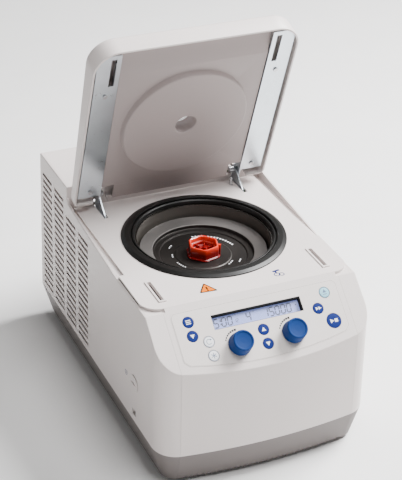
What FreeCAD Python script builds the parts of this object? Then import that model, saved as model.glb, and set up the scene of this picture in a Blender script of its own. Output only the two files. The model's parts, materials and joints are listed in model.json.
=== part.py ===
import FreeCAD, Part
import math
import os
import re
import Sketcher

# Refrigerated bench microcentrifuge, lid open.
# Origin: middle of the footprint, on the bench. +X to the user's right, front faces -Y, +Z up.

doc = FreeCAD.newDocument("BenchCentrifuge")
sheet = doc.addObject("Spreadsheet::Sheet", "Dims")

SIZES = {
    # body
    "half_wide": 145.0, "back_y": 229.4, "bow_y": -229.4, "bow_radius": 764.0,
    "corner_radius": 32.0, "draft_deg": 0.5, "wall": 2.6, "seam_x": 119.5, "joint_gap": 0.2,
    "foot_top": 5.0, "base_z": 48.0, "base_draft_deg": 15.0, "deck_z": 224.6,
    "hump_y": 119.8, "hump_z": 258.0, "rail_x": 140.4, "rail_low_z": 220.6, "rail_high_z": 232.5,
    "rail_start_y": -65.0, "step_radius": 24.0, "gutter_x": 133.0, "gutter_z": 221.0,
    "slope_top_y": -154.7, "slope_deg": 40.8, "edge_round": 1.6,
    # rotor chamber
    "bowl_y": -10.3, "bowl_radius": 88.0, "bowl_sheet": 1.2, "bowl_floor_z": 136.0,
    "bowl_lip_z": 222.0, "lip_radius": 94.0, "deck_hole_radius": 97.0, "seal_radius": 107.0,
    "seal_top_z": 229.2,
    "shaft_radius": 8.0, "shaft_gap": 0.05, "shaft_hole_radius": 20.0,
    # rotor
    "rotor_top_z": 198.0, "rotor_radius": 84.0, "tube_count": 24.0, "tube_radius": 5.5,
    "tube_circle": 66.0, "tube_tilt_deg": 45.0, "tube_length": 44.0,
    "knob_hex": 22.0, "rotor_knob_tall": 18.5,
    # lid, drawn shut
    "lid_half": 139.8, "lid_front_y": -153.1, "lid_back_y": 117.4, "lid_rim_z": 225.6,
    "lid_top_z": 257.6, "lid_back_z": 245.0, "lid_wall": 2.6, "lid_corner": 34.0,
    "hinge_y": 116.2, "hinge_z": 242.3, "lid_open_deg": 70.5, "hinge_pin_radius": 3.0,
    "fin_x": 102.0, "fin_front_y": 80.0, "fin_thick": 1.6, "liner_z": 231.2,
    "lid_disc_radius": 86.0, "lid_disc_z": 223.0,
    "window_radius": 15.0, "bracket_thick": 1.6,
    # control panel, measured down the slope from its top edge
    "key_radius": 7.0, "start_radius": 9.6, "key_proud": 0.8,
    "dial_x": 36.4, "dial_down": 63.7, "dial_radius": 15.0, "dial_tall": 17.5,
    "screen_left": -62.0, "screen_right": 59.0, "screen_top": 21.0, "screen_low": 40.0,
    "foil_half": 112.3, "foil_thick": 0.3,
    # latch
    "slot_x": 112.0, "slot_low_y": -138.0, "slot_high_y": -94.0, "slot_wide": 5.0,
    "latch_y": -133.5, "latch_z": 184.0, "latch_back_deg": 62.0,
    "hook_tall": 53.0, "hook_half": 3.8, "hook_reach": 9.0, "hook_thick": 3.6,
    "pin_x": 91.9, "pin_y": 105.0, "pin_radius": 2.0,
    # openings in the casing
    "cut_depth": 8.0, "plug_y": -129.7, "plug_z": 105.0, "plug_radius": 11.0, "port_z": 61.0,
    "vent_start_y": 37.5, "vent_pitch_y": 47.5, "vent_long": 38.0,
    "vent_low_z": 56.0, "vent_pitch_z": 9.6, "vent_tall": 5.0,
    "grille_left_x": -105.0, "grille_right_x": 25.0, "grille_low_z": 70.0,
    "panel_cut": 14.0, "cover_back_gap": 3.5,
    # base tray
    "notch_half_run": 107.3, "notch_pitch": 7.4, "notch_radius": 2.2, "trim_back_y": -192.0,
    "foot_x": 104.0, "foot_front_y": -164.0, "foot_rear_y": 190.0, "foot_radius": 11.0,
    # drive
    "motor_radius": 45.0, "motor_top_z": 118.0, "plate_z": 60.0, "plate_thick": 3.0,
    "plate_half_x": 96.0, "plate_half_y": 80.0, "damper_x": 80.0, "damper_y": 64.0,
    "bearing_radius": 16.0, "bearing_tall": 5.0, "magnet_radius": 27.4, "winding_radius": 28.0,
    "foam_radius": 103.0, "foam_top_z": 214.0, "coil_radius": 2.7, "coil_pitch": 10.0,
    # cooling
    "compressor_x": 8.0, "compressor_y": 158.0, "compressor_radius": 46.0, "compressor_top_z": 120.0,
    "condenser_low_x": -136.0, "condenser_high_x": -116.0, "condenser_y": 87.0,
    "condenser_low_z": 62.0, "condenser_top_z": 184.0, "cooling_fin_pitch": 4.0,
    "fan_x": -98.0, "fan_y": 150.0, "fan_z": 125.0, "fan_half": 60.0, "fan_half_depth": 12.0,
    # power
    "inlet_x": 92.0, "inlet_z": 78.0, "inlet_half_x": 24.0, "inlet_half_z": 29.0,
    "rocker_z": 92.0, "rocker_half": 8.6, "card_x": 133.0, "card_thick": 1.6,
    "supply_x": 95.0, "supply_y": 156.0, "rear_screw_radius": 3.0,
}

VENT_ROWS = (17, 17, 19, 19)        # the two columns beside the hump are taller
GRILLE_ROWS = 14
NOTCH_COUNT = 30
COIL_TURNS = 7
COOLING_FINS = 32
FAN_BLADES = 7
SIDES = (("l", -1), ("r", 1))


def fill_sheet():
    for row, (alias, number) in enumerate(SIZES.items(), start=1):
        sheet.set(f"A{row}", alias)
        sheet.set(f"B{row}", str(number))
        sheet.setAlias(f"B{row}", alias)
    doc.recompute()


def words(text):
    """Turn a formula in plain size names into a FreeCAD expression on the sheet."""
    return re.sub(r"[a-z][a-z_]+", lambda m: "Dims." + m.group() if m.group() in SIZES else m.group(),
                  str(text))


def number(text):
    found = sheet.evalExpression(words(text))
    return float(getattr(found, "Value", found))


def bind(thing, **formulas):
    for name, text in formulas.items():
        thing.setExpression(name, words(text))
    return thing


def place(thing, x=None, y=None, z=None):
    for axis, text in (("x", x), ("y", y), ("z", z)):
        if text is not None:
            thing.setExpression(f"Placement.Base.{axis}", words(text))
    return thing


# ---------------------------------------------------------------- plain solids

def box(name, xs, ys, zs):
    block = doc.addObject("Part::Box", name)
    bind(block, Length=f"({xs[1]}) - ({xs[0]})", Width=f"({ys[1]}) - ({ys[0]})",
         Height=f"({zs[1]}) - ({zs[0]})")
    return place(block, xs[0], ys[0], zs[0])


TURN = {"z": FreeCAD.Rotation(), "x": FreeCAD.Rotation(FreeCAD.Vector(0, 1, 0), 90),
        "y": FreeCAD.Rotation(FreeCAD.Vector(1, 0, 0), -90)}


def rod(name, start, radius, length, axis="z"):
    cylinder = doc.addObject("Part::Cylinder", name)
    cylinder.Placement = FreeCAD.Placement(FreeCAD.Vector(), TURN[axis])
    bind(cylinder, Radius=radius, Height=length)
    return place(cylinder, *start)


def tube(name, start, outer, inner, length, axis="z"):
    whole = rod(name + "_outside", start, outer, length, axis)
    return cut(name, whole, rod(name + "_bore", start, inner, length, axis))


def cut(name, base, *tools):
    result = doc.addObject("Part::Cut", name)
    result.Base = base
    result.Tool = tools[0] if len(tools) == 1 else group(name + "_tools", *tools)
    return result


def fuse(name, *solids):
    result = doc.addObject("Part::MultiFuse", name)
    result.Shapes = list(solids)
    return result


def common(name, *solids):
    result = doc.addObject("Part::MultiCommon", name)
    result.Shapes = list(solids)
    return result


def group(name, *solids):
    result = doc.addObject("Part::Compound", name)
    result.Links = list(solids)
    return result


def rounded(name, base, wanted, radius):
    """Part fillet on the edges of base whose middle point passes the wanted test."""
    doc.recompute()
    result = doc.addObject("Part::Fillet", name)
    result.Base = base
    picked = [i for i, edge in enumerate(base.Shape.Edges, start=1)
              if wanted(edge.valueAt((edge.FirstParameter + edge.LastParameter) / 2), edge)]
    result.Edges = [(i, number(radius), number(radius)) for i in picked]
    return result


def upright(edge):
    ends = [v.Point for v in edge.Vertexes]
    return len(ends) == 2 and abs(ends[0].z - ends[1].z) > 0.9 * edge.Length


# ---------------------------------------------------------------- sketched solids

def draw_polygon(sketch, points):
    first = sketch.GeometryCount
    spots = [FreeCAD.Vector(number(x), number(y), 0) for x, y in points]
    count = len(spots)
    for i in range(count):
        sketch.addGeometry(Part.LineSegment(spots[i], spots[(i + 1) % count]))
    for i in range(count):
        sketch.addConstraint(Sketcher.Constraint("Coincident", first + i, 2, first + (i + 1) % count, 1))
    for i, (x, y) in enumerate(points):
        hold_point(sketch, first + i, "DistanceX", x, spots[i].x, -2)
        hold_point(sketch, first + i, "DistanceY", y, spots[i].y, -1)


def hold_point(sketch, line, kind, text, amount, zero_axis):
    if abs(amount) < 1e-9:
        sketch.addConstraint(Sketcher.Constraint("PointOnObject", line, 1, zero_axis))
        return
    held = sketch.addConstraint(Sketcher.Constraint(kind, -1, 1, line, 1, amount))
    sketch.setExpression(f"Constraints[{held}]", words(text))


def draw_circle(sketch, x, y, radius):
    middle = FreeCAD.Vector(number(x), number(y), 0)
    ring = sketch.addGeometry(Part.Circle(middle, FreeCAD.Vector(0, 0, 1), number(radius)))
    held = sketch.addConstraint(Sketcher.Constraint("Radius", ring, number(radius)))
    sketch.setExpression(f"Constraints[{held}]", words(radius))
    for kind, text, amount, axis in (("DistanceX", x, middle.x, -2), ("DistanceY", y, middle.y, -1)):
        if abs(amount) < 1e-9:
            sketch.addConstraint(Sketcher.Constraint("PointOnObject", ring, 3, axis))
        else:
            held = sketch.addConstraint(Sketcher.Constraint(kind, -1, 1, ring, 3, amount))
            sketch.setExpression(f"Constraints[{held}]", words(text))


def draw_plan(sketch, inset):
    """Footprint outline: straight sides, tangent corners and a gently bowed front."""
    half = number(f"half_wide - {inset}")
    back = number(f"back_y - {inset}")
    corner = number(f"corner_radius - {inset}")
    bow = number(f"bow_radius - {inset}")
    bow_middle = number("bow_y + bow_radius")
    corner_x = half - corner
    corner_y = bow_middle - math.sqrt((bow - corner) ** 2 - corner_x ** 2)
    lean = math.atan2(corner_x, bow_middle - corner_y)
    up = FreeCAD.Vector(0, 0, 1)

    def arc(x, y, radius, start, end):
        return Part.ArcOfCircle(Part.Circle(FreeCAD.Vector(x, y, 0), up, radius), start, end)

    down = -math.pi / 2
    left_end = FreeCAD.Vector(-half, corner_y, 0)
    right_end = FreeCAD.Vector(half, corner_y, 0)
    left_back = FreeCAD.Vector(-half, back, 0)
    right_back = FreeCAD.Vector(half, back, 0)
    sketch.addGeometry(Part.LineSegment(left_back, left_end))
    sketch.addGeometry(arc(-corner_x, corner_y, corner, -math.pi, down - lean))
    sketch.addGeometry(arc(0, bow_middle, bow, down - lean, down + lean))
    sketch.addGeometry(arc(corner_x, corner_y, corner, down + lean, 0))
    sketch.addGeometry(Part.LineSegment(right_end, right_back))
    sketch.addGeometry(Part.LineSegment(right_back, left_back))
    for first, end, second, start in ((0, 2, 1, 1), (1, 2, 2, 1), (2, 2, 3, 1), (3, 2, 4, 1)):
        sketch.addConstraint(Sketcher.Constraint("Tangent", first, end, second, start))
    for first, second in ((4, 5), (5, 0)):
        sketch.addConstraint(Sketcher.Constraint("Coincident", first, 2, second, 1))
    sketch.addConstraint(Sketcher.Constraint("Vertical", 0))
    sketch.addConstraint(Sketcher.Constraint("Vertical", 4))
    sketch.addConstraint(Sketcher.Constraint("Horizontal", 5))
    sketch.addConstraint(Sketcher.Constraint("PointOnObject", 2, 3, -2))
    for held, text in ((Sketcher.Constraint("Radius", 1, corner), f"corner_radius - {inset}"),
                       (Sketcher.Constraint("Radius", 3, corner), f"corner_radius - {inset}"),
                       (Sketcher.Constraint("Radius", 2, bow), f"bow_radius - {inset}"),
                       (Sketcher.Constraint("DistanceY", -1, 1, 2, 3, bow_middle), "bow_y + bow_radius"),
                       (Sketcher.Constraint("DistanceX", -1, 1, 0, 1, -half), f"-(half_wide - {inset})"),
                       (Sketcher.Constraint("DistanceY", -1, 1, 0, 1, back), f"back_y - {inset}")):
        slot = sketch.addConstraint(held)
        sketch.setExpression(f"Constraints[{slot}]", words(text))


SIDE_VIEW = FreeCAD.Rotation(FreeCAD.Vector(1, 1, 1), 120)     # sketch x -> Y, sketch y -> Z
PLAN_VIEW = FreeCAD.Rotation()


def free_sketch(name, view):
    sketch = doc.addObject("Sketcher::SketchObject", name)
    sketch.Placement = FreeCAD.Placement(FreeCAD.Vector(), view)
    return sketch


def extrude(name, sketch, length, direction, taper=None):
    block = doc.addObject("Part::Extrusion", name)
    block.Base = sketch
    block.DirMode = "Custom"
    block.Dir = FreeCAD.Vector(*direction)
    block.Solid = True
    bind(block, LengthFwd=length)
    if taper:
        bind(block, TaperAngle=taper)
    return block


def side_slab(name, points, x_low, x_high):
    """Side-view outline given thickness along X."""
    sketch = free_sketch(name + "_outline", SIDE_VIEW)
    draw_polygon(sketch, points)
    place(sketch, x=x_low)
    return extrude(name, sketch, f"({x_high}) - ({x_low})", (1, 0, 0))


def body_plane(body, role):
    return next(item for item in body.Origin.OriginFeatures if item.Role == role)


def body_sketch(body, name, role):
    sketch = body.newObject("Sketcher::SketchObject", name)
    sketch.AttachmentSupport = [(body_plane(body, role), "")]
    sketch.MapMode = "FlatFace"
    return sketch


def turned(name, points):
    """PartDesign body turned about its own Z axis from an (radius, height) outline."""
    body = doc.addObject("PartDesign::Body", name)
    sketch = body_sketch(body, name + "_outline", "XZ_Plane")
    draw_polygon(sketch, points)
    turn = body.newObject("PartDesign::Revolution", name + "_turn")
    turn.Profile = sketch
    turn.ReferenceAxis = (sketch, ["V_Axis"])
    turn.Angle = 360
    sketch.Visibility = False
    return body


def padded(name, shapes, low, tall):
    """PartDesign body: plan outlines padded upward from a low height."""
    body = doc.addObject("PartDesign::Body", name)
    sketch = body_sketch(body, name + "_outline", "XY_Plane")
    bind(sketch, **{"AttachmentOffset.Base.z": low})
    for shape in shapes:
        if len(shape) == 3 and isinstance(shape[0], str):
            draw_circle(sketch, *shape)
        else:
            draw_polygon(sketch, shape)
    pad = body.newObject("PartDesign::Pad", name + "_pad")
    pad.Profile = sketch
    bind(pad, Length=tall)
    return body


def rectangle(xs, ys):
    return [(xs[0], ys[0]), (xs[1], ys[0]), (xs[1], ys[1]), (xs[0], ys[1])]


fill_sheet()
nodes = []


def keep(name, thing):
    """Name a finished sub-part; its label is also its file name."""
    thing.Label = name
    nodes.append(thing)
    return thing


# ---------------------------------------------------------------- outer casing

SLOPE_LOW_Z = "deck_z - (slope_top_y - bow_y + 5)*tan(slope_deg)"


def side_outline(skin, low):
    """Side view of the casing: tilted control panel, flat deck, step up to the rear hump."""
    drop = f"({skin})"
    ease = f"({skin})*(1 - cos(slope_deg))/sin(slope_deg)"
    return [(f"back_y - {drop}", low),
            ("bow_y - 5", low),
            ("bow_y - 5", f"{SLOPE_LOW_Z} - {drop}/cos(slope_deg)"),
            (f"slope_top_y + {ease}", f"deck_z - {drop}"),
            (f"hump_y + {drop}", f"deck_z - {drop}"),
            (f"hump_y + {drop}", f"hump_z - {drop}"),
            (f"back_y - {drop}", f"hump_z - {drop}")]


def envelope(name, inset, low, reach):
    plan = free_sketch(name + "_plan", PLAN_VIEW)
    draw_plan(plan, inset)
    place(plan, z=low)
    column = extrude(name + "_column", plan, f"hump_z + 1 - ({low})", (0, 0, 1), "-draft_deg")
    profile = side_slab(name + "_profile", side_outline(inset, f"({low}) - 1"), f"-({reach})", reach)
    return column, profile


def rail_outline():
    """Side view of the outer edges: below the deck in front, climbing above it to the hump."""
    return [("back_y", "base_z - 1"), ("bow_y - 5", "base_z - 1"), ("bow_y - 5", SLOPE_LOW_Z),
            ("slope_top_y - (deck_z - rail_low_z)/tan(slope_deg)", "rail_low_z"),
            ("rail_start_y", "rail_low_z"), ("hump_y - 24", "rail_high_z"),
            ("hump_y - 6", "rail_high_z + 3"), ("hump_y", "rail_high_z + 9"),
            ("hump_y", "hump_z"), ("back_y", "hump_z")]


def corner_steps():
    """The deck stands proud of the casing corners in front, with rounded corners of its own."""
    steps = []
    middle_y = "slope_top_y + step_radius"
    for side, near, far, middle_x in (("l", "-rail_x - 6", "-rail_x + step_radius", "-rail_x + step_radius"),
                                      ("r", "rail_x - step_radius", "rail_x + 6", "rail_x - step_radius")):
        block = box(f"step_block_{side}", (near, far), ("slope_top_y - 8", middle_y),
                    ("rail_low_z", "deck_z + 4"))
        post = rod(f"step_round_{side}", (middle_x, middle_y, "rail_low_z - 1"), "step_radius", "12")
        steps.append(cut(f"step_{side}", block, post))
    return steps


def gutters(name, skin, floor, reach):
    """Sunk ledges along both sides of the deck, which the shut lid's side walls hang over."""
    spans = {"l": (f"-({reach})", f"-gutter_x + {skin}"), "r": (f"gutter_x - {skin}", reach)}
    return [box(f"gutter{name}_{side}", span, ("rail_start_y", f"hump_y + {skin}"), (floor, "deck_z + 1"))
            for side, span in spans.items()]


def outer_edge(middle, edge):
    """Top outside edges of the side walls, from the slope back over the hump."""
    on_side = abs(middle.x) > number("rail_x + 1") and middle.z > 205
    return on_side and edge.Length > 6 and not upright(edge)


def vent_slots(side):
    """Columns of level air slots in the rear half of one side wall."""
    slots = []
    low = "-half_wide - 1" if side == "l" else "half_wide - cut_depth"
    high = "-half_wide + cut_depth" if side == "l" else "half_wide + 1"
    for column, rows in enumerate(VENT_ROWS):
        start = f"vent_start_y + {column}*vent_pitch_y"
        for row in range(rows):
            z = f"vent_low_z + {row}*vent_pitch_z"
            slots.append(box(f"vent_{side}_{column}_{row}", (low, high), (start, f"{start} + vent_long"),
                             (z, f"{z} + vent_tall")))
    return group(f"vent_slots_{side}", *slots)


def rear_openings():
    """Fan grille bars, and the window for the mains inlet and switch."""
    through = ("back_y - cut_depth", "back_y + 1")
    bars = []
    for row in range(GRILLE_ROWS):
        z = f"grille_low_z + {row}*vent_pitch_z"
        bars.append(box(f"rear_slot_{row}", ("grille_left_x", "grille_right_x"), through,
                        (z, f"{z} + vent_tall")))
    inlet = box("inlet_window",
                ("inlet_x - inlet_half_x - joint_gap", "inlet_x + inlet_half_x + joint_gap"), through,
                ("inlet_z - inlet_half_z - joint_gap", "inlet_z + inlet_half_z + joint_gap"))
    return group("rear_openings", *bars, inlet)


def casing():
    outer_column, outer_profile = envelope("outer", "0", "base_z", "rail_x")
    inner_column, inner_profile = envelope("inner", "wall", "base_z - 1", "rail_x - 0.2")
    edges = [side_slab("edge_left", rail_outline(), "-half_wide", "-rail_x"),
             side_slab("edge_right", rail_outline(), "rail_x", "half_wide")]
    whole = common("outer_body", outer_column, fuse("outer_sides", outer_profile, *edges))
    stepped = cut("stepped_body", whole, *corner_steps())
    rounded_body = rounded("rounded_body", stepped, outer_edge, "edge_round")
    sides = cut("guttered_body", rounded_body, *gutters("", "0", "gutter_z", "rail_x"))
    solid_core = common("inner_body", inner_column, inner_profile)
    hollow = cut("inner_hollow", solid_core, *gutters("_inner", "wall", "gutter_z - wall", "half_wide"))
    shell = cut("casing_shell", sides, hollow)

    lip = "deck_z - wall - 2"
    cover_back = "back_y - wall - cover_back_gap"
    cover_zone = box("cover_zone", ("-rail_x", "rail_x"), ("slope_top_y", cover_back), (lip, "hump_z + 5"))
    fascia_zone = box("fascia_zone", ("-seam_x", "seam_x"), ("bow_y - 5", "slope_top_y"),
                      ("base_z - 1", "hump_z"))
    plug_hole = rod("plug_hole", ("-half_wide - 1", "plug_y", "plug_z"), "plug_radius + 0.4",
                    "cut_depth", "x")
    port = box("port_hole", ("-half_wide - 1", "-half_wide + cut_depth - 2"),
               ("plug_y - 5.5", "plug_y + 5.5"), ("port_z - 4", "port_z + 4"))
    housing = cut("housing_cut", shell, cover_zone, fascia_zone, vent_slots("l"), vent_slots("r"),
                  rear_openings(), plug_hole, port)
    keep("housing_shell", housing)

    gap = "joint_gap"
    cover_block = box("cover_block", (f"-rail_x + {gap}", f"rail_x - {gap}"),
                      (f"slope_top_y + {gap}", f"{cover_back} - {gap}"), (lip, "hump_z + 5"))
    cover_body = common("cover_body", shell, cover_block)
    under = "deck_z - 12"
    openings = [rod("deck_hole", (0, "bowl_y", under), "deck_hole_radius", "20"),
                rod("pin_hole", ("pin_x", "pin_y", under), "pin_radius + 0.4", "20")]
    for side, sign in SIDES:
        slot, fin = f"{sign}*slot_x", f"{sign}*fin_x"
        openings.append(box(f"deck_slot_{side}", (f"{slot} - 5", f"{slot} + 5"),
                            ("slot_low_y - 3", "slot_high_y + 3"), (under, "deck_z + 5")))
        openings.append(box(f"fin_slot_{side}", (f"{fin} - 3", f"{fin} + 3"),
                            ("fin_front_y - 2", "hump_y + 7"), (under, "hinge_z + 6")))
        openings.append(box(f"pin_pocket_{side}", (f"{fin} - 10", f"{fin} + 10"),
                            ("hinge_y - 8.2", "hump_y + 4"), ("hinge_z - 7", "hinge_z + 7")))
    keep("top_cover", cut("cover_cut", cover_body, *openings))

    fascia_block = box("fascia_block", (f"-seam_x + {gap}", f"seam_x - {gap}"),
                       ("bow_y - 5", "slope_top_y"), ("base_z", "hump_z"))
    keep("front_fascia", cut("fascia_cut", common("fascia_body", shell, fascia_block),
                             panel_holes("fascia", 0.4)))


# ---------------------------------------------------------------- control panel

KEYS = {  # key: (x, distance down the slope, radius)
    "menu_key": (-92.2, 23.4, "key_radius"), "down_key": (-92.0, 41.6, "key_radius"),
    "spin_key": (-73.7, 52.5, "key_radius"), "cool_key": (-73.0, 70.5, "key_radius"),
    "warmer_key": (-0.6, 52.3, "key_radius"), "colder_key": (-0.2, 70.7, "key_radius"),
    "short_key": (78.3, 41.6, "key_radius"), "open_key": (93.4, 23.3, "key_radius"),
    "start_stop_key": (93.7, 61.2, "start_radius"),
}


def on_panel(thing, x, down, rise="0"):
    """Stand a sub-part, drawn with its own Z up, on the tilted control panel."""
    tilt = FreeCAD.Rotation(FreeCAD.Vector(1, 0, 0), number("slope_deg"))
    thing.Placement = FreeCAD.Placement(FreeCAD.Vector(), tilt)
    return place(thing, x, f"slope_top_y - ({down})*cos(slope_deg) - ({rise})*sin(slope_deg)",
                 f"deck_z - ({down})*sin(slope_deg) + ({rise})*cos(slope_deg)")


def panel_holes(owner, spare):
    """Holes through the panel for keys, dial shafts and the screen."""
    holes = []
    for key, (x, down, radius) in KEYS.items():
        hole = rod(f"{owner}_{key}_hole", (0, 0, 0), f"{radius} + {spare}", "panel_cut")
        holes.append(on_panel(hole, x, down, "-panel_cut/2"))
    for side, sign in SIDES:
        hole = rod(f"{owner}_dial_hole_{side}", (0, 0, 0), "4.5", "panel_cut")
        holes.append(on_panel(hole, f"{sign}*dial_x", "dial_down", "-panel_cut/2"))
    window = doc.addObject("Part::Box", f"{owner}_screen_hole")
    bind(window, Length="screen_right - screen_left", Width="screen_low - screen_top", Height="panel_cut")
    holes.append(on_panel(window, "screen_left", "screen_low", "-panel_cut/2"))
    return group(f"{owner}_holes", *holes)


def keypad_foil():
    outline = [("-foil_half + 6", "-9"), ("foil_half - 6", "-9"), ("foil_half", "-15"),
               ("foil_half", "-72"), ("foil_half - 5", "-77"), ("60", "-85"), ("0", "-89"),
               ("-60", "-85"), ("-foil_half + 5", "-77"), ("-foil_half", "-72"), ("-foil_half", "-15")]
    sheet_body = on_panel(padded("foil_sheet", [outline], "0", "foil_thick"), "0", "0")
    keep("keypad_foil", cut("foil_cut", sheet_body, panel_holes("foil", 0.5)))


def keys():
    for key, (x, down, radius) in KEYS.items():
        flange = f"{radius} + 1.2"
        body = turned(key + "_body", [("0", "-4.1"), (flange, "-4.1"), (flange, "-3.4"),
                                      (radius, "-3.4"), (radius, "key_proud - 0.4"),
                                      (f"{radius} - 0.6", "key_proud"), ("0", "key_proud")])
        keep(key, on_panel(body, x, down))


def dials():
    for name, side in (("time_knob", -1), ("speed_knob", 1)):
        skirt = "foil_thick + 0.3"
        body = turned(name + "_body", [("0", "-8.6"), ("3", "-8.6"), ("3", skirt), ("dial_radius", skirt),
                                       ("dial_radius", f"{skirt} + 3"), ("12.4", "dial_tall - 1.5"),
                                       ("11.6", "dial_tall"), ("10.4", "dial_tall"), ("4", "dial_tall - 1.4"),
                                       ("0", "dial_tall - 1.6")])
        keep(name, on_panel(body, f"{side}*dial_x", "dial_down"))


def screen():
    edge = rectangle(("screen_left + 1", "screen_right - 1"), ("-screen_low + 1", "-screen_top - 1"))
    frame_out = rectangle(("screen_left - 2", "screen_right + 2"), ("-screen_low - 2", "-screen_top + 2"))
    keep("display_window", on_panel(padded("window_pad", [edge], "-4.4", "1.2"), "0", "0"))
    glass = on_panel(padded("glass_pad", [edge], "-6.4", "1.8"), "0", "0")
    bezel = on_panel(padded("bezel_pad", [frame_out, edge], "-6.4", "3.2"), "0", "0")
    keep("display_module", group("display_solids", glass, bezel))


def panel_electronics():
    board = padded("board_pad", [rectangle(("-108", "108"), ("-80", "-16"))], "-10.6", "1.6")
    keep("control_board", on_panel(board, "0", "0"))
    gear = []
    for side in (-1, 1):
        can = turned(f"encoder_{side}", [("3.05", "-9"), ("7", "-9"), ("7", "-4"), ("5", "-4"),
                                         ("5", "-3.3"), ("3.05", "-3.3")])
        gear.append(on_panel(can, f"{side}*dial_x", "dial_down"))
    for key, (x, down, radius) in KEYS.items():
        dome = turned(key + "_switch", [("0", "-9"), ("4", "-9"), ("4", "-6"), ("2", "-5.2"),
                                        ("0", "-5.2")])
        gear.append(on_panel(dome, x, down))
    keep("panel_switches", group("switch_solids", *gear))


# ---------------------------------------------------------------- base

def base():
    def tapered(name, inset, top, depth):
        plan = free_sketch(name + "_plan", PLAN_VIEW)
        draw_plan(plan, inset)
        place(plan, z=top)
        return extrude(name, plan, depth, (0, 0, -1), "-base_draft_deg")

    outside = tapered("tray_outside", "0", "base_z - joint_gap", "base_z - joint_gap - foot_top")
    inside = tapered("tray_inside", "wall", "base_z + 1", "base_z + 1 - foot_top - wall")
    tray = cut("tray_shell", outside, inside)
    notches = []
    for i in range(NOTCH_COUNT):
        notches.append(rod(f"notch_{i}", (f"-notch_half_run + {i}*notch_pitch", "bow_y", "foot_top"),
                           "notch_radius", "24", "y"))
    opening = box("trim_opening", ("-seam_x", "seam_x"), ("bow_y", "trim_back_y"),
                  ("foot_top + wall", "base_z"))
    keep("base_tray", cut("tray_cut", tray, opening, *notches))
    zone = box("trim_zone", ("-seam_x + joint_gap", "seam_x - joint_gap"),
               ("bow_y", "trim_back_y - joint_gap"), ("foot_top + wall + joint_gap", "base_z"))
    keep("front_base_trim", cut("trim_cut", common("trim_body", tray, zone),
                                group("notch_copy", *notches)))
    feet = []
    for side, sign in SIDES:
        for end, y in (("front", "foot_front_y"), ("rear", "foot_rear_y")):
            foot = turned(f"foot_{side}_{end}", [("0", "0"), ("foot_radius - 2", "0"), ("foot_radius", "2"),
                                                 ("foot_radius", "foot_top"), ("0", "foot_top")])
            feet.append(place(foot, f"{sign}*foot_x", y, 0))
    keep("rubber_feet", group("feet_solids", *feet))


# ---------------------------------------------------------------- chamber, drive and rotor

def at_bowl(thing):
    return place(thing, 0, "bowl_y", 0)


def chamber():
    out = "bowl_radius + bowl_sheet"
    under_floor, under_lip = "bowl_floor_z - bowl_sheet", "bowl_lip_z - bowl_sheet"
    bowl = turned("bowl", [("shaft_hole_radius", under_floor), (out, under_floor), (out, under_lip),
                           ("lip_radius", under_lip), ("lip_radius", "bowl_lip_z"),
                           ("bowl_radius", "bowl_lip_z"), ("bowl_radius", "bowl_floor_z"),
                           ("shaft_hole_radius", "bowl_floor_z")])
    keep("rotor_chamber", at_bowl(bowl))
    inner, neck = "bowl_radius + 1.6", "deck_hole_radius - 0.4"
    hem, hang, rest = "lip_radius + 0.4", "deck_z - wall - 5", "deck_z + 0.1"
    seal = turned("seal", [(inner, "bowl_lip_z + 0.1"), (hem, "bowl_lip_z + 0.1"), (hem, hang),
                           (neck, hang), (neck, rest), ("seal_radius", rest),
                           ("seal_radius - 0.6", "deck_z + 2"), ("seal_radius - 4", "seal_top_z - 0.6"),
                           ("98", "seal_top_z"), ("95.4", "seal_top_z - 0.6"), ("94.2", "deck_z"),
                           ("91", "bowl_lip_z + 1.2"), (inner, "bowl_lip_z + 1.8")])
    keep("chamber_seal", at_bowl(seal))
    cup = "bowl_radius + bowl_sheet + 2*coil_radius + 0.8"
    foam = turned("foam", [("24", "bowl_floor_z - 14"), ("foam_radius", "bowl_floor_z - 14"),
                           ("foam_radius", "foam_top_z"), (cup, "foam_top_z"),
                           (cup, "bowl_floor_z - 1.4"), ("24", "bowl_floor_z - 1.4")])
    keep("chamber_insulation", at_bowl(foam))
    coils = []
    for i in range(COIL_TURNS):
        ring = doc.addObject("Part::Torus", f"coil_{i}")
        bind(ring, Radius1="bowl_radius + bowl_sheet + coil_radius + 0.3", Radius2="coil_radius")
        coils.append(place(ring, 0, "bowl_y", f"bowl_floor_z + 8 + {i}*coil_pitch"))
    keep("evaporator_coil", group("coil_solids", *coils))


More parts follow.
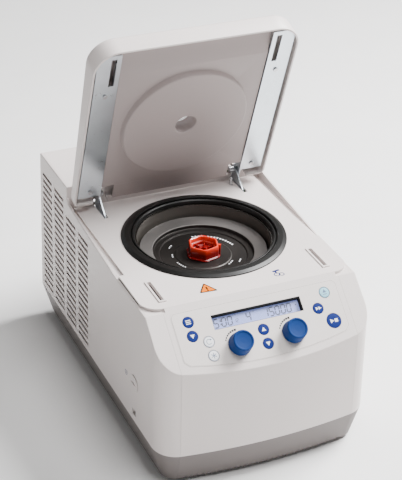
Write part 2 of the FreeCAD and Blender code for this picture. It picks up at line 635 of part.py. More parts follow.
def drive():
    seat = "bearing_radius + 0.1"
    inner = "motor_radius - 5"
    floor = "plate_z + plate_thick"
    case = turned("motor_case", [(seat, floor), ("motor_radius", floor), ("motor_radius", "motor_top_z"),
                                 (seat, "motor_top_z"), (seat, "motor_top_z - bearing_tall"),
                                 (inner, "motor_top_z - bearing_tall"), (inner, f"{floor} + bearing_tall"),
                                 (seat, f"{floor} + bearing_tall")])
    coil_low, coil_high = "plate_z + 12", "motor_top_z - 9"
    windings = turned("windings", [("winding_radius", coil_low), (f"{inner} - 0.1", coil_low),
                                   (f"{inner} - 0.1", coil_high), ("winding_radius", coil_high)])
    keep("motor_housing", group("motor_solids", at_bowl(case), at_bowl(windings)))
    rings = []
    for name, low in (("lower", floor), ("upper", "motor_top_z - bearing_tall")):
        bore = "shaft_radius + shaft_gap"
        ring = turned(f"{name}_bearing", [(bore, low), ("bearing_radius", low),
                                          ("bearing_radius", f"{low} + bearing_tall"),
                                          (bore, f"{low} + bearing_tall")])
        rings.append(at_bowl(ring))
    keep("motor_bearings", group("bearing_solids", *rings))
    outline = rectangle(("-plate_half_x", "plate_half_x"),
                        ("bowl_y - plate_half_y", "bowl_y + plate_half_y"))
    keep("motor_mount_plate", padded("plate_pad", [outline, ("0", "bowl_y", "shaft_radius + 4")],
                                     "plate_z", "plate_thick"))
    pads = []
    for side, sign in SIDES:
        for end, lean in (("front", -1), ("rear", 1)):
            pad = turned(f"damper_{side}_{end}", [("0", "foot_top + wall"), ("11", "foot_top + wall"),
                                                  ("8", "34"), ("11", "plate_z"), ("0", "plate_z")])
            pads.append(place(pad, f"{sign}*damper_x", f"bowl_y + {lean}*damper_y", 0))
    keep("motor_dampers", group("damper_solids", *pads))
    shaft = turned("shaft", [("0", "plate_z - 2"), ("shaft_radius", "plate_z - 2"), ("shaft_radius", "146"),
                             ("shaft_radius - 3", "190"), ("0", "190")])
    keep("motor_shaft", at_bowl(shaft))
    bore = "shaft_radius + 0.02"
    magnet = turned("magnet", [(bore, coil_low), ("magnet_radius", coil_low), ("magnet_radius", coil_high),
                               (bore, coil_high)])
    keep("motor_magnet", at_bowl(magnet))


def rotor():
    bore, top = "shaft_radius + 0.02", "rotor_top_z"
    blank = turned("rotor_blank", [(bore, "144"), ("30", "144"), ("44", "150"), ("rotor_radius", "178"),
                                   ("rotor_radius", f"{top} + 7"), ("rotor_radius - 2", f"{top} + 7"),
                                   ("rotor_radius - 4", top), ("58", f"{top} - 4"), ("34", f"{top} - 16"),
                                   ("20", f"{top} - 16"), ("20", "190.2"), ("shaft_radius - 2.9", "190.2"),
                                   (bore, "146.2")])
    wells = []
    for i in range(int(number("tube_count"))):
        well = rod(f"tube_well_{i}", (0, 0, 0), "tube_radius", "tube_length")
        angle = 360 * i / number("tube_count")
        spin = FreeCAD.Rotation(FreeCAD.Vector(0, 0, 1), angle)
        lean = FreeCAD.Rotation(FreeCAD.Vector(0, 1, 0), -number("tube_tilt_deg"))
        well.Placement = FreeCAD.Placement(FreeCAD.Vector(), spin.multiply(lean))
        place(well, f"tube_circle*cos({angle})", f"bowl_y + tube_circle*sin({angle})", "rotor_top_z - 24")
        wells.append(well)
    keep("rotor", cut("rotor_cut", at_bowl(blank), *wells))
    nut = turned("nut", [("0", "190.3"), ("14", "190.3"), ("14", "198"), ("12", "200"), ("0", "200")])
    keep("rotor_nut", at_bowl(nut))


def rotor_cover():
    rim, base = "rotor_top_z + 8", "rotor_top_z"
    dish = turned("dish", [("18", f"{base} + 2.2"), ("66", f"{base} + 2.2"), ("78", f"{base} + 4.4"),
                           ("81", f"{base} + 7.2"), ("83.8", f"{base} + 7.2"), ("83.8", rim),
                           ("82.6", rim), ("67.6", f"{base} + 5.6"), ("66.4", f"{base} + 4.4"),
                           ("58", f"{base} + 4.8"), ("37", f"{base} + 4.2"), ("36.4", f"{base} + 5"),
                           ("18", f"{base} + 5")])
    keep("rotor_lid", at_bowl(dish))
    ring = turned("lid_gasket", [("76", "rotor_top_z + 0.6"), ("79.2", "rotor_top_z + 0.6"),
                                 ("79.2", "rotor_top_z + 4"), ("76", "rotor_top_z + 3.9")])
    keep("rotor_lid_seal", at_bowl(ring))
    low = "rotor_top_z + 5.3"
    hexagon = [(f"knob_hex*cos({60 * i + 14})", f"knob_hex*sin({60 * i + 14})") for i in range(6)]
    body = padded("knob_pad", [hexagon], low, "rotor_knob_tall")
    hollow = turned("knob_hollow", [("0", f"{low} + 7"), ("13", f"{low} + 7"), ("18", f"{low} + 19.5"),
                                    ("0", f"{low} + 19.5")])
    stem = turned("knob_stem", [("0", "200.4"), ("17.6", "200.4"), ("17.6", low), ("0", low)])
    eye = rod("knob_eye", (0, 0, f"{low} + 2"), "3.2", "8")
    knob = cut("knob_cut", fuse("knob_whole", body, stem), hollow, eye)
    keep("rotor_lid_knob", at_bowl(knob))


# ---------------------------------------------------------------- lid, drawn shut and then opened

def open_lid(thing):
    lean = FreeCAD.Rotation(FreeCAD.Vector(1, 0, 0), -number("lid_open_deg"))
    thing.Placement = FreeCAD.Placement(FreeCAD.Vector(), lean)
    return place(thing, "0", "hinge_y - hinge_y*cos(lid_open_deg) - hinge_z*sin(lid_open_deg)",
                 "hinge_z + hinge_y*sin(lid_open_deg) - hinge_z*cos(lid_open_deg)")


def lid_block(name, inset, low):
    """Slightly wedge-shaped lid: full height in front, thinner toward its hinge."""
    profile = [("lid_front_y - 1", low), ("lid_back_y + 1", low), ("lid_back_y + 1", f"lid_back_z - {inset}"),
               ("60", f"lid_top_z - 5 - {inset}"), ("-20", f"lid_top_z - 1 - {inset}"),
               ("-110", f"lid_top_z - {inset}"), ("lid_front_y - 1", f"lid_top_z - 1 - {inset}")]
    slab = side_slab(name + "_side", profile, "-lid_half", "lid_half")
    plan = box(name + "_plan", (f"-lid_half + {inset}", f"lid_half - {inset}"),
               (f"lid_front_y + {inset}", f"lid_back_y - {inset}"), (low, "lid_top_z + 2"))
    corner = rounded(name + "_front", plan, lambda p, e: upright(e) and p.y < 0, f"lid_corner - {inset}")
    both = rounded(name + "_rear", corner, lambda p, e: upright(e) and p.y > 0, f"8 - {inset}")
    return common(name, slab, both)


def lid():
    shell = cut("lid_hollow", lid_block("lid_outside", "0", "lid_rim_z"),
                lid_block("lid_inside", "lid_wall", "lid_rim_z - 1"))
    well = rod("window_well", (0, "bowl_y", "lid_rim_z"), "window_radius + 2", "60")
    relief = [box(f"lid_relief_{side}", span, ("96", "lid_back_y + 2"), ("lid_rim_z - 2", "hinge_z + 6"))
              for side, span in (("l", ("-fin_x - 10.5", "-fin_x + 10.5")),
                                 ("r", ("pin_x - pin_radius - 1.9", "fin_x + 10.5")))]
    keep("lid_shell", open_lid(cut("lid_shell_cut", shell, well, *relief)))

    panel = box("liner_plate", ("-fin_x + 0.6", "fin_x - 0.6"), ("lid_front_y + 4", "112"),
                ("liner_z", "liner_z + 2.5"))
    disc = rod("liner_disc", (0, "bowl_y", "lid_disc_z"), "lid_disc_radius", "liner_z + 1 - lid_disc_z")
    neck = rod("liner_neck", (0, "bowl_y", "liner_z"), "window_radius + 1.8", "14")
    bore = rod("liner_bore", (0, "bowl_y", "lid_disc_z - 1"), "window_radius - 1", "40")
    notches = [box(f"liner_notch_{side}", (f"{x} - 11", f"{x} + 11"), ("92", "114"),
                   ("liner_z - 1", "liner_z + 6")) for side, x in (("l", "-fin_x + 7"), ("r", "fin_x - 7"))]
    liner = cut("liner_cut", fuse("liner_body", panel, disc, neck), bore, *notches)
    keep("lid_inner_panel", open_lid(liner))

    glass_low = "liner_z + 14.1"
    window = turned("window_disc", [("0", glass_low), ("window_radius + 1.6", glass_low),
                                    ("window_radius + 1.6", f"{glass_low} + 4"), ("0", f"{glass_low} + 4")])
    keep("viewing_window", open_lid(group("window_glass", place(window, y="bowl_y"))))
    trim = tube("window_trim", (0, "bowl_y", f"{glass_low} + 4.1"), "window_radius + 1.6",
                "window_radius - 2", "lid_top_z + 0.4 - liner_z - 18.2")
    keep("window_ring", open_lid(trim))

    lid_brackets()


def lid_brackets():
    """Plated side strips with the latch slots, each bent up into a web that carries a hinge lug."""
    room = lid_block("bracket_room", "lid_wall + 0.4", "lid_rim_z - 1")
    low, near = "liner_z - bracket_thick", "fin_x + 0.4"
    rails = []
    heads = []
    for side, sign in SIDES:
        def across(first, last):
            return (first, last) if sign > 0 else (f"-({last})", f"-({first})")
        bend = across(near, f"{near} + bracket_thick")
        strip = box(f"bracket_strip_{side}", across(near, "134"), ("lid_front_y + 9", "106"),
                    (low, "liner_z"))
        web = box(f"bracket_web_{side}", bend, ("-120", "hinge_y + 4"), (low, "hinge_z + 2.3"))
        lug = box(f"bracket_lug_{side}", bend, ("hinge_y - 6", "hinge_y + 6"),
                  ("hinge_z - 6", "hinge_z + 5.4"))
        slot = box(f"bracket_slot_{side}", across("slot_x - 3.6", "slot_x + 3.6"),
                   ("slot_low_y", "slot_high_y"), ("liner_z - 6", "liner_z + 4"))
        eye = rod(f"bracket_eye_{side}", (across("fin_x - 2", "fin_x + 4")[0], "hinge_y", "hinge_z"),
                  "hinge_pin_radius + 0.05", "6", "x")
        trimmed = common(f"bracket_flat_{side}", strip, room)
        rails.append(cut(f"bracket_{side}", fuse(f"bracket_sheet_{side}", trimmed, web, lug), slot, eye))
        for end, y in (("front", "-78"), ("rear", "96")):
            heads.append(rod(f"lid_screw_{side}_{end}", (f"{sign}*(slot_x + 6)", y, f"{low} - 1.6"),
                             "3.2", "1.6"))
    keep("lid_brackets", open_lid(group("bracket_solids", *rails)))
    keep("lid_screws", open_lid(group("lid_screw_solids", *heads)))


def hinge():
    ears = []
    pins = []
    coils = []
    root = "deck_z - 34.6"
    for side, sign in SIDES:
        low, high = ("fin_x - fin_thick", "fin_x") if sign > 0 else ("-fin_x", "-fin_x + fin_thick")
        fin = side_slab(f"fin_{side}", [("fin_front_y", "deck_z - 8"), ("fin_front_y + 6", "deck_z"),
                                        ("hinge_y - 4", "hinge_z + 5"), ("hinge_y + 4", "hinge_z + 5"),
                                        ("hinge_y + 6", "hinge_z"), ("hinge_y + 6", root),
                                        ("fin_front_y", root)], low, high)
        foot = box(f"fin_foot_{side}", (low, f"{low} + 12") if sign < 0 else (f"{high} - 12", high),
                   ("fin_front_y + 4", "hinge_y + 6"), (f"{root} - fin_thick", root))
        hole = rod(f"fin_hole_{side}", (f"{low} - 1", "hinge_y", "hinge_z"), "hinge_pin_radius", "5", "x")
        ears.append(cut(f"ear_{side}", fuse(f"ear_sheet_{side}", fin, foot), hole))
        start = "fin_x - 9" if sign > 0 else "-fin_x - 6"
        pins.append(rod(f"pin_{side}", (start, "hinge_y", "hinge_z"), "hinge_pin_radius", "15", "x"))
        spring = "fin_x - 8.4" if sign > 0 else "-fin_x + 1.9"
        coils.append(tube(f"spring_{side}", (spring, "hinge_y", "hinge_z"), "4.6", "3.2", "6.5", "x"))
    keep("hinge_brackets", group("ear_solids", *ears))
    keep("hinge_pins", group("pin_solids", *pins))
    keep("lid_springs", group("spring_solids", *coils))


# ---------------------------------------------------------------- latch

def latch():
    """Two hooks on one bar: they swing forward over the front ends of the lid's bracket slots."""
    hook = [("-hook_half", "-6"), ("hook_half", "-6"), ("hook_half", "hook_tall - 3"),
            ("hook_half - 2.8", "hook_tall"), ("-hook_reach", "hook_tall - 1.5"),
            ("-hook_reach", "hook_tall - 4.8"), ("-hook_half", "hook_tall - 5.6")]
    lean = FreeCAD.Rotation(FreeCAD.Vector(1, 0, 0), -number("latch_back_deg"))
    hooks = []
    frames = []
    for side, sign in SIDES:
        x = f"{sign}*slot_x"
        arm = side_slab(f"hook_{side}", hook, "-hook_thick/2", "hook_thick/2")
        arm.Placement = FreeCAD.Placement(FreeCAD.Vector(), lean)
        hooks.append(place(arm, x, "latch_y", "latch_z"))
        outside = rectangle((f"{x} - 4.9", f"{x} + 4.9"), ("slot_low_y - 2.9", "slot_high_y + 2.9"))
        inside = rectangle((f"{x} - slot_wide/2", f"{x} + slot_wide/2"), ("slot_low_y", "slot_high_y"))
        frames.append(padded(f"slot_frame_{side}", [outside, inside], "deck_z - 4", "5.4"))
    shaft = rod("latch_bar", ("-slot_x - 4", "latch_y", "latch_z"), "3.5", "2*slot_x + 8", "x")
    keep("latch_hooks", fuse("hook_pair", *hooks, shaft))
    keep("latch_slot_frames", group("frame_solids", *frames))
    gearbox = box("gearbox", ("-30", "14"), ("latch_y - 16", "latch_y + 12"), ("latch_z - 46", "latch_z - 6"))
    motor = rod("actuator", ("14", "latch_y - 2", "latch_z - 26"), "12", "40", "x")
    keep("latch_motor", fuse("latch_drive", gearbox, motor))
    pin = turned("sense_pin", [("0", "deck_z - 12.6"), ("pin_radius", "deck_z - 12.6"),
                               ("pin_radius", "deck_z + 10.4"), ("pin_radius - 0.8", "deck_z + 11.4"),
                               ("0", "deck_z + 11.4")])
    keep("lid_sense_pin", place(pin, "pin_x", "pin_y", 0))


def release_plug():
    cap = turned("plug_cap", [("0", "-6"), ("plug_radius - 3", "-6"), ("plug_radius - 3", "-3.4"),
                              ("plug_radius", "-3.4"), ("plug_radius", "1.2"), ("0", "1.2")])
    coin = box("coin_slot", ("-1.2", "1.2"), ("-7", "7"), ("-0.4", "2"))
    plug = cut("plug_body", cap, coin)
    plug.Placement = FreeCAD.Placement(FreeCAD.Vector(), FreeCAD.Rotation(FreeCAD.Vector(0, 1, 0), -90))
    place(plug, "-half_wide + (plug_z - base_z)*tan(draft_deg)", "plug_y", "plug_z")
    keep("release_plug", plug)


# ---------------------------------------------------------------- cooling and power

def cooling():
    can = turned("compressor_can", [("0", "20"), ("compressor_radius - 6", "20"), ("compressor_radius", "28"),
                                    ("compressor_radius", "compressor_top_z - 24"),
                                    ("compressor_radius - 8", "compressor_top_z - 8"),
                                    ("0", "compressor_top_z")])
    legs = box("compressor_base", ("-44", "44"), ("-30", "30"), ("17", "20"))
    grommets = [rod(f"compressor_grommet_{x}_{y}", (x, y, "foot_top + wall"), "7", "17 - foot_top - wall")
                for x in (-36, 36) for y in (-22, 22)]
    keep("compressor", place(fuse("compressor_whole", can, legs, *grommets),
                             "compressor_x", "compressor_y", 0))
    depth = ("condenser_low_x", "condenser_high_x")
    plates = [box(f"cooling_fin_{i}", depth, (f"condenser_y + 1 + {i}*cooling_fin_pitch",
                                              f"condenser_y + 2 + {i}*cooling_fin_pitch"),
                  ("condenser_low_z + 4", "condenser_top_z")) for i in range(COOLING_FINS)]
    tanks = [box(f"condenser_tank_{name}", depth, ("condenser_y", "condenser_y + 127"), (z, f"{z} + 4"))
             for name, z in (("low", "condenser_low_z"), ("top", "condenser_top_z"),
                             ("middle", "(condenser_low_z + condenser_top_z)/2 - 2"))]
    keep("condenser", fuse("condenser_whole", *tanks, *plates))
    fan()


def fan():
    square = box("fan_square", ("fan_x - fan_half_depth", "fan_x + fan_half_depth"),
                 ("fan_y - fan_half", "fan_y + fan_half"), ("fan_z - fan_half", "fan_z + fan_half"))
    throat = rod("fan_throat", ("fan_x - fan_half_depth - 1", "fan_y", "fan_z"), "fan_half - 3", "26", "x")
    hub = rod("fan_motor", ("fan_x + 4", "fan_y", "fan_z"), "18", "8", "x")
    arm_depth = ("fan_x + 8", "fan_x + fan_half_depth")
    arms = [box("fan_arm_level", arm_depth, ("fan_y - fan_half + 2", "fan_y + fan_half - 2"),
                ("fan_z - 3", "fan_z + 3")),
            box("fan_arm_upright", arm_depth, ("fan_y - 3", "fan_y + 3"),
                ("fan_z - fan_half + 2", "fan_z + fan_half - 2"))]
    keep("fan_frame", fuse("fan_frame_whole", cut("fan_body", square, throat), hub, *arms))
    middle = rod("fan_hub", ("fan_x - 9", "fan_y", "fan_z"), "19", "12.6", "x")
    pitch = FreeCAD.Rotation(FreeCAD.Vector(0, 0, 1), 58)
    root = FreeCAD.Placement(FreeCAD.Vector(5, -6, 18), pitch)
    centre = FreeCAD.Vector(number("fan_x"), number("fan_y"), number("fan_z"))
    blades = []
    for i in range(FAN_BLADES):
        blade = doc.addObject("Part::Box", f"blade_{i}")
        bind(blade, Length="1.6", Width="18", Height="36")
        turn = FreeCAD.Rotation(FreeCAD.Vector(1, 0, 0), 360 * i / FAN_BLADES)
        blade.Placement = FreeCAD.Placement(centre, turn).multiply(root)
        blades.append(blade)
    keep("fan_impeller", fuse("impeller_whole", middle, *blades))


def power():
    keep("power_supply", box("supply_block", ("supply_x - 31", "supply_x + 31"),
                             ("supply_y - 44", "supply_y + 44"), ("foot_top + wall", "44")))
    card = box("main_card", ("card_x", "card_x + card_thick"), ("20", "210"), ("60", "190"))
    chips = [box(f"card_block_{i}", ("card_x - 8", "card_x"), (y, y + 26), (80, 120))
             for i, y in enumerate((40, 92, 144))]
    keep("main_board", fuse("main_board_whole", card, *chips))
    flange = box("inlet_flange", ("inlet_x - inlet_half_x", "inlet_x + inlet_half_x"),
                 ("back_y - 4.2", "back_y + 1.2"), ("inlet_z - inlet_half_z", "inlet_z + inlet_half_z"))
    can = box("inlet_can", ("inlet_x - 14", "inlet_x + 14"), ("back_y - wall - 22", "back_y - 4"),
              ("inlet_z - 25", "inlet_z + 25"))
    socket = box("inlet_socket", ("inlet_x - 12", "inlet_x + 12"), ("back_y - 16", "back_y + 2"),
                 ("inlet_z - 24.5", "inlet_z - 5.5"))
    blades = [box(f"inlet_blade_{i}", (f"inlet_x + {x - 1}", f"inlet_x + {x + 1}"),
                  ("back_y - 17", "back_y - 2"), (f"inlet_z - {drop}", f"inlet_z - {drop - 4}"))
              for i, (x, drop) in enumerate(((-7, 15), (0, 19), (7, 15)))]
    switch_hole = box("switch_hole", ("inlet_x - 9", "inlet_x + 9"), ("back_y - 16", "back_y + 2"),
                      ("rocker_z - 11", "rocker_z + 11"))
    inlet = cut("inlet_body", fuse("inlet_whole", flange, can), socket, switch_hole)
    keep("mains_inlet", fuse("inlet_with_blades", inlet, *blades))
    rocker()
    rear_screws()


def rocker():
    """Rocker of the mains switch, on two short pivot stubs."""
    lever = side_slab("rocker_lever", [("-4", "-7"), ("4", "-9.4"), ("8.5", "-9.4"), ("6.8", "0"),
                                       ("8.5", "9.4"), ("4", "9.4"), ("-4", "7")],
                      "-rocker_half", "rocker_half")
    pivot = rod("rocker_pivot", ("-rocker_half - 0.3", 0, 0), "2", "2*rocker_half + 0.6", "x")
    whole = fuse("rocker_whole", lever, pivot)
    whole.Placement = FreeCAD.Placement(FreeCAD.Vector(), FreeCAD.Rotation(FreeCAD.Vector(1, 0, 0), 8))
    keep("mains_rocker", place(whole, "inlet_x", "back_y - 8", "rocker_z"))


def rear_screws():
    """Screw heads on the rear wall, just clear of its draft."""
    heads = []
    for x in (-134, -60, 40, 134):
        for z in (56, 246):
            y = f"back_y + 0.02 - ({z} - base_z - rear_screw_radius)*tan(draft_deg)"
            heads.append(rod(f"rear_screw_{x}_{z}", (x, y, z), "rear_screw_radius", "1.4", "y"))
    keep("rear_screws", group("rear_screw_solids", *heads))


def check_and_write():
    doc.recompute()
    problems = [thing.Name for thing in doc.Objects if {"Invalid", "Error"} & set(thing.State)]
    for thing in nodes:
        shape = thing.Shape
        if shape.isNull() or not shape.isValid() or not shape.Solids:
            problems.append(thing.Label + " has a bad shape")
    if problems:
        raise RuntimeError("; ".join(problems))
    os.makedirs("parts", exist_ok=True)
    for thing in nodes:
        thing.Shape.exportStep(f"parts/{thing.Label}.step")
    print(len(nodes), "sub-parts written")


casing()
keypad_foil()
keys()
dials()
screen()
panel_electronics()
base()
chamber()
drive()
rotor()
rotor_cover()
lid()
hinge()
latch()
release_plug()
cooling()
power()
check_and_write()
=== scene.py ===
import bmesh
import bpy
import json
import math
from mathutils import Matrix, Vector


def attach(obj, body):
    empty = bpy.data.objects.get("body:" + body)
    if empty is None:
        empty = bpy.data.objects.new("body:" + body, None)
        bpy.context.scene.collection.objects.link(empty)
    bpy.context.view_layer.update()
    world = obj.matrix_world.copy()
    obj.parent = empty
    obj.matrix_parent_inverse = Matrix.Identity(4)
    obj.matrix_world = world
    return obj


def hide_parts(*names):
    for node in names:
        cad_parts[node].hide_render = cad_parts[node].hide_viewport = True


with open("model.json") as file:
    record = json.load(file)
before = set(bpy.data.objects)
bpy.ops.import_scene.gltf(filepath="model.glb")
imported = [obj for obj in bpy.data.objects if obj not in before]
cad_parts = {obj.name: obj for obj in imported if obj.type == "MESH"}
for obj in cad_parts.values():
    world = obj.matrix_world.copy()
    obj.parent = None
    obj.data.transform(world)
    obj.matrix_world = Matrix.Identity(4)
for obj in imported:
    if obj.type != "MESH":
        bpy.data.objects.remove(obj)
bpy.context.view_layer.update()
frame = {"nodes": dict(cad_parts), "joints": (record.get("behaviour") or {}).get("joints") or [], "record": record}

mm = 0.001                # shapes below are written in millimetres
print("frame loaded:", len(frame["nodes"]), "CAD nodes")


class Sock:
    # wraps one socket, so that shader maths reads as plain expressions
    def __init__(self, shader, socket):
        self.shader = shader
        self.socket = socket

    def maths(self, operation, first, second=0.0):
        return self.shader.node("Math", {"operation": operation}, {0: first, 1: second})

    def __add__(self, other):
        return self.maths("ADD", self, other)

    __radd__ = __add__

    def __sub__(self, other):
        return self.maths("SUBTRACT", self, other)

    def __rsub__(self, other):
        return self.maths("SUBTRACT", other, self)

    def __mul__(self, other):
        return self.maths("MULTIPLY", self, other)

    __rmul__ = __mul__

    def __gt__(self, other):
        return self.maths("GREATER_THAN", self, other)

    def pick(self, output):
        return Sock(self.shader, self.socket.node.outputs[output])


class Shader:
    def __init__(self, name):
        self.material = bpy.data.materials.new(name)
        self.material.use_nodes = True
        self.tree = self.material.node_tree
        self.tree.nodes.clear()
        self.place = self.node("TexCoord").pick("Object")

    def node(self, kind, settings=None, sockets=None):
        made = self.tree.nodes.new("ShaderNode" + kind)
        for key, value in (settings or {}).items():
            if key == "stops":
                for stop, (spot, colour) in zip(made.color_ramp.elements, value):
                    stop.position = spot
                    stop.color = colour
            else:
                setattr(made, key, value)
        for key, value in (sockets or {}).items():
            if isinstance(value, Sock):
                self.tree.links.new(value.socket, made.inputs[key])
            else:
                made.inputs[key].default_value = value
        return Sock(self, made.outputs[0]) if made.outputs else None

    def noise(self, scale, detail=2.0, stretch=(1, 1, 1)):
        spot = self.node("VectorMath", {"operation": "MULTIPLY"}, {0: self.place, 1: stretch})
        return self.node("TexNoise", {}, {"Vector": spot, "Scale": scale, "Detail": detail})

    def mixColour(self, share, first, second, how="MIX"):
        made = self.node("Mix", {"data_type": "RGBA", "blend_type": how}, {0: share, 6: first, 7: second})
        return made.pick(2)

    def bump(self, height, strength, depth):
        return self.node("Bump", {}, {"Height": height, "Strength": strength, "Distance": depth})

    def finish(self, **sockets):
        named = {key.replace("_", " "): value for key, value in sockets.items()}
        surface = self.node("BsdfPrincipled", {}, named)
        self.node("OutputMaterial", {}, {"Surface": surface})
        return self.material


def tone(red, green, blue, shade=1.0):
    # screen colour, 0 to 255, as the linear colour that shaders take
    linear = [((v / 255 + 0.055) / 1.055) ** 2.4 if v > 10 else v / 255 / 12.92 for v in (red, green, blue)]
    return tuple(v * shade for v in linear) + (1.0,)


def mouldedPlastic(name, look):
    # fine spark-eroded grain, with a faint drift of colour and gloss
    shader = Shader(name)
    grain = shader.noise(look.get("grain", 1400), 3)
    drift = shader.noise(9, 2)
    colour = shader.mixColour(drift, tone(*look["colour"], 0.96), tone(*look["colour"], 1.03))
    rough = (grain - 0.5) * 0.16 + look["rough"]
    normal = shader.bump(grain, look.get("bump", 0.12), 0.00006)
    return shader.finish(Base_Color=colour, Roughness=rough, Normal=normal, IOR=look.get("ior", 1.46),
                         Coat_Weight=look.get("coat", 0.0), Coat_Roughness=0.2,
                         Coat_IOR=1.4)


def tintedPlasticPaintedLight(name, look):
    # clear red moulding with painted light: the red brightens from painted shade on its sides to a painted
    # highlight at its top rim
    shader = Shader(name)
    height = shader.node("SeparateXYZ", {}, {0: shader.place}).pick("Z")
    # painted light: with height the colour climbs from the deep red, painted shade, to the rim colour, a painted
    # highlight
    rise = shader.node("MapRange", {}, {"Value": height, "From Min": look["lowZ"], "From Max": look["highZ"]})
    colour = shader.mixColour(rise, tone(*look["colour"]), tone(*look["rim"]))
    cloud = shader.noise(120, 2)
    return shader.finish(Base_Color=colour, Roughness=cloud * 0.08 + look["rough"], Coat_Weight=0.3,
                         Normal=shader.bump(cloud, 0.02, 0.0001), Subsurface_Weight=0.15,
                         Subsurface_Scale=0.004)


def sheetMetal(name, look):
    # rolled or brushed metal: long streaks along one axis, with cloudy plating
    shader = Shader(name)
    streaks = shader.noise(260, 3, (1, 0.03, 1))
    cloud = shader.noise(look.get("cloud", 30), 3)
    colour = shader.mixColour(cloud, tone(*look["colour"], 0.86), tone(*look["colour"], 1.08))
    rough = (streaks - 0.5) * 0.1 + cloud * 0.08 + look["rough"]
    normal = shader.bump(streaks, 0.03, 0.00002)
    return shader.finish(Base_Color=colour, Roughness=rough, Normal=normal, Metallic=1.0,
                         Anisotropic=look.get("pull", 0.0))


def turnedMetal(name, look):
    # lathe rings about the rotor's axis; the axis stands at axisY on the centre plane
    shader = Shader(name)
    flat = shader.node("VectorMath", {"operation": "MULTIPLY_ADD"},
                       {0: shader.place, 1: (1, 1, 0), 2: (0, -look["axisY"], 0)})
    radius = shader.node("VectorMath", {"operation": "LENGTH"}, {0: flat}).pick("Value")
    rings = shader.node("TexNoise", {"noise_dimensions": "1D"}, {"W": radius, "Scale": 2600.0, "Detail": 2.0})
    cloud = shader.noise(40, 2)
    # partly painted reflection: beyond fieldRadius the satin cone takes the much lighter colour, standing in for
    # the studio light it reflects; the field inside stays dark
    cone = radius > look["fieldRadius"]
    colour = shader.mixColour(cone, tone(*look["field"]), tone(*look["colour"]))
    colour = shader.mixColour(cloud * 0.15, colour, tone(0, 0, 0))
    rough = (rings - 0.5) * 0.12 + look["rough"]
    normal = shader.bump(rings, 0.1, 0.00004)
    return shader.finish(Base_Color=colour, Roughness=rough, Normal=normal, Metallic=look["metal"],
                         Anisotropic=look["pull"], Coat_Weight=look["coat"])


def softRubber(name, look):
    shader = Shader(name)
    grain = shader.noise(700, 4)
    dust = shader.noise(22, 4)
    colour = shader.mixColour(dust, tone(*look["colour"], 0.8), tone(*look["colour"], 1.25))
    rough = (dust - 0.5) * 0.12 + look["rough"]
    return shader.finish(Base_Color=colour, Roughness=rough, Normal=shader.bump(grain, 0.15, 0.0001),
                         Sheen_Weight=0.02, IOR=1.36)


def clearPane(name, look):
    # clear moulding, mostly seen by its gloss; its emission is painted light, a glow that stands in for daylight
    # let in from its far side
    shader = Shader(name)
    haze = shader.noise(60, 2)
    return shader.finish(Base_Color=tone(*look["colour"]), Roughness=haze * 0.05 + look["rough"],
                         Alpha=look["alpha"], IOR=1.5, Emission_Color=tone(*look["colour"]),
                         Emission_Strength=look.get("through", 0.0))


def litPanel(name, look):
    # liquid crystal glass with a soft, slightly uneven back light
    shader = Shader(name)
    glow = shader.mixColour(shader.noise(25, 1), tone(*look["colour"], 0.94), tone(*look["colour"], 1.04))
    return shader.finish(Base_Color=glow, Roughness=shader.noise(200, 1) * 0.1 + look["rough"],
                         Emission_Color=glow, Emission_Strength=look["light"])


def circuitBoard(name, look):
    # solder mask with a faint grid of tracks
    shader = Shader(name)
    tracks = shader.node("TexBrick", {}, {"Vector": shader.place, "Scale": 220.0, "Mortar Size": 0.03})
    colour = shader.mixColour(tracks.pick("Fac"), tone(*look["colour"]), tone(*look["colour"], 2.2))
    return shader.finish(Base_Color=colour, Roughness=shader.noise(300, 2) * 0.2 + look["rough"],
                         Normal=shader.bump(tracks.pick("Fac"), 0.3, 0.00005))


def chamberSteel(name, look):
    # deep-drawn bowl: polished lip; the wall below it is darker, partly its dull finish and partly painted shade
    # deep in the bowl
    shader = Shader(name)
    height = shader.node("SeparateXYZ", {}, {0: shader.place}).pick("Z")
    lip = height > look["lipZ"]
    streaks = shader.noise(90, 3, (1, 1, 12))
    # partly painted shade: below lipZ the wall takes a darker colour than the lip, along with its duller, less
    # metallic finish
    colour = shader.mixColour(lip, tone(*look["wall"]), tone(*look["lip"]))
    rough = (streaks - 0.5) * 0.15 + 0.42 - lip * 0.2
    return shader.finish(Base_Color=colour, Roughness=rough, Metallic=lip * 0.6 + 0.4,
                         Normal=shader.bump(streaks, 0.05, 0.0001))


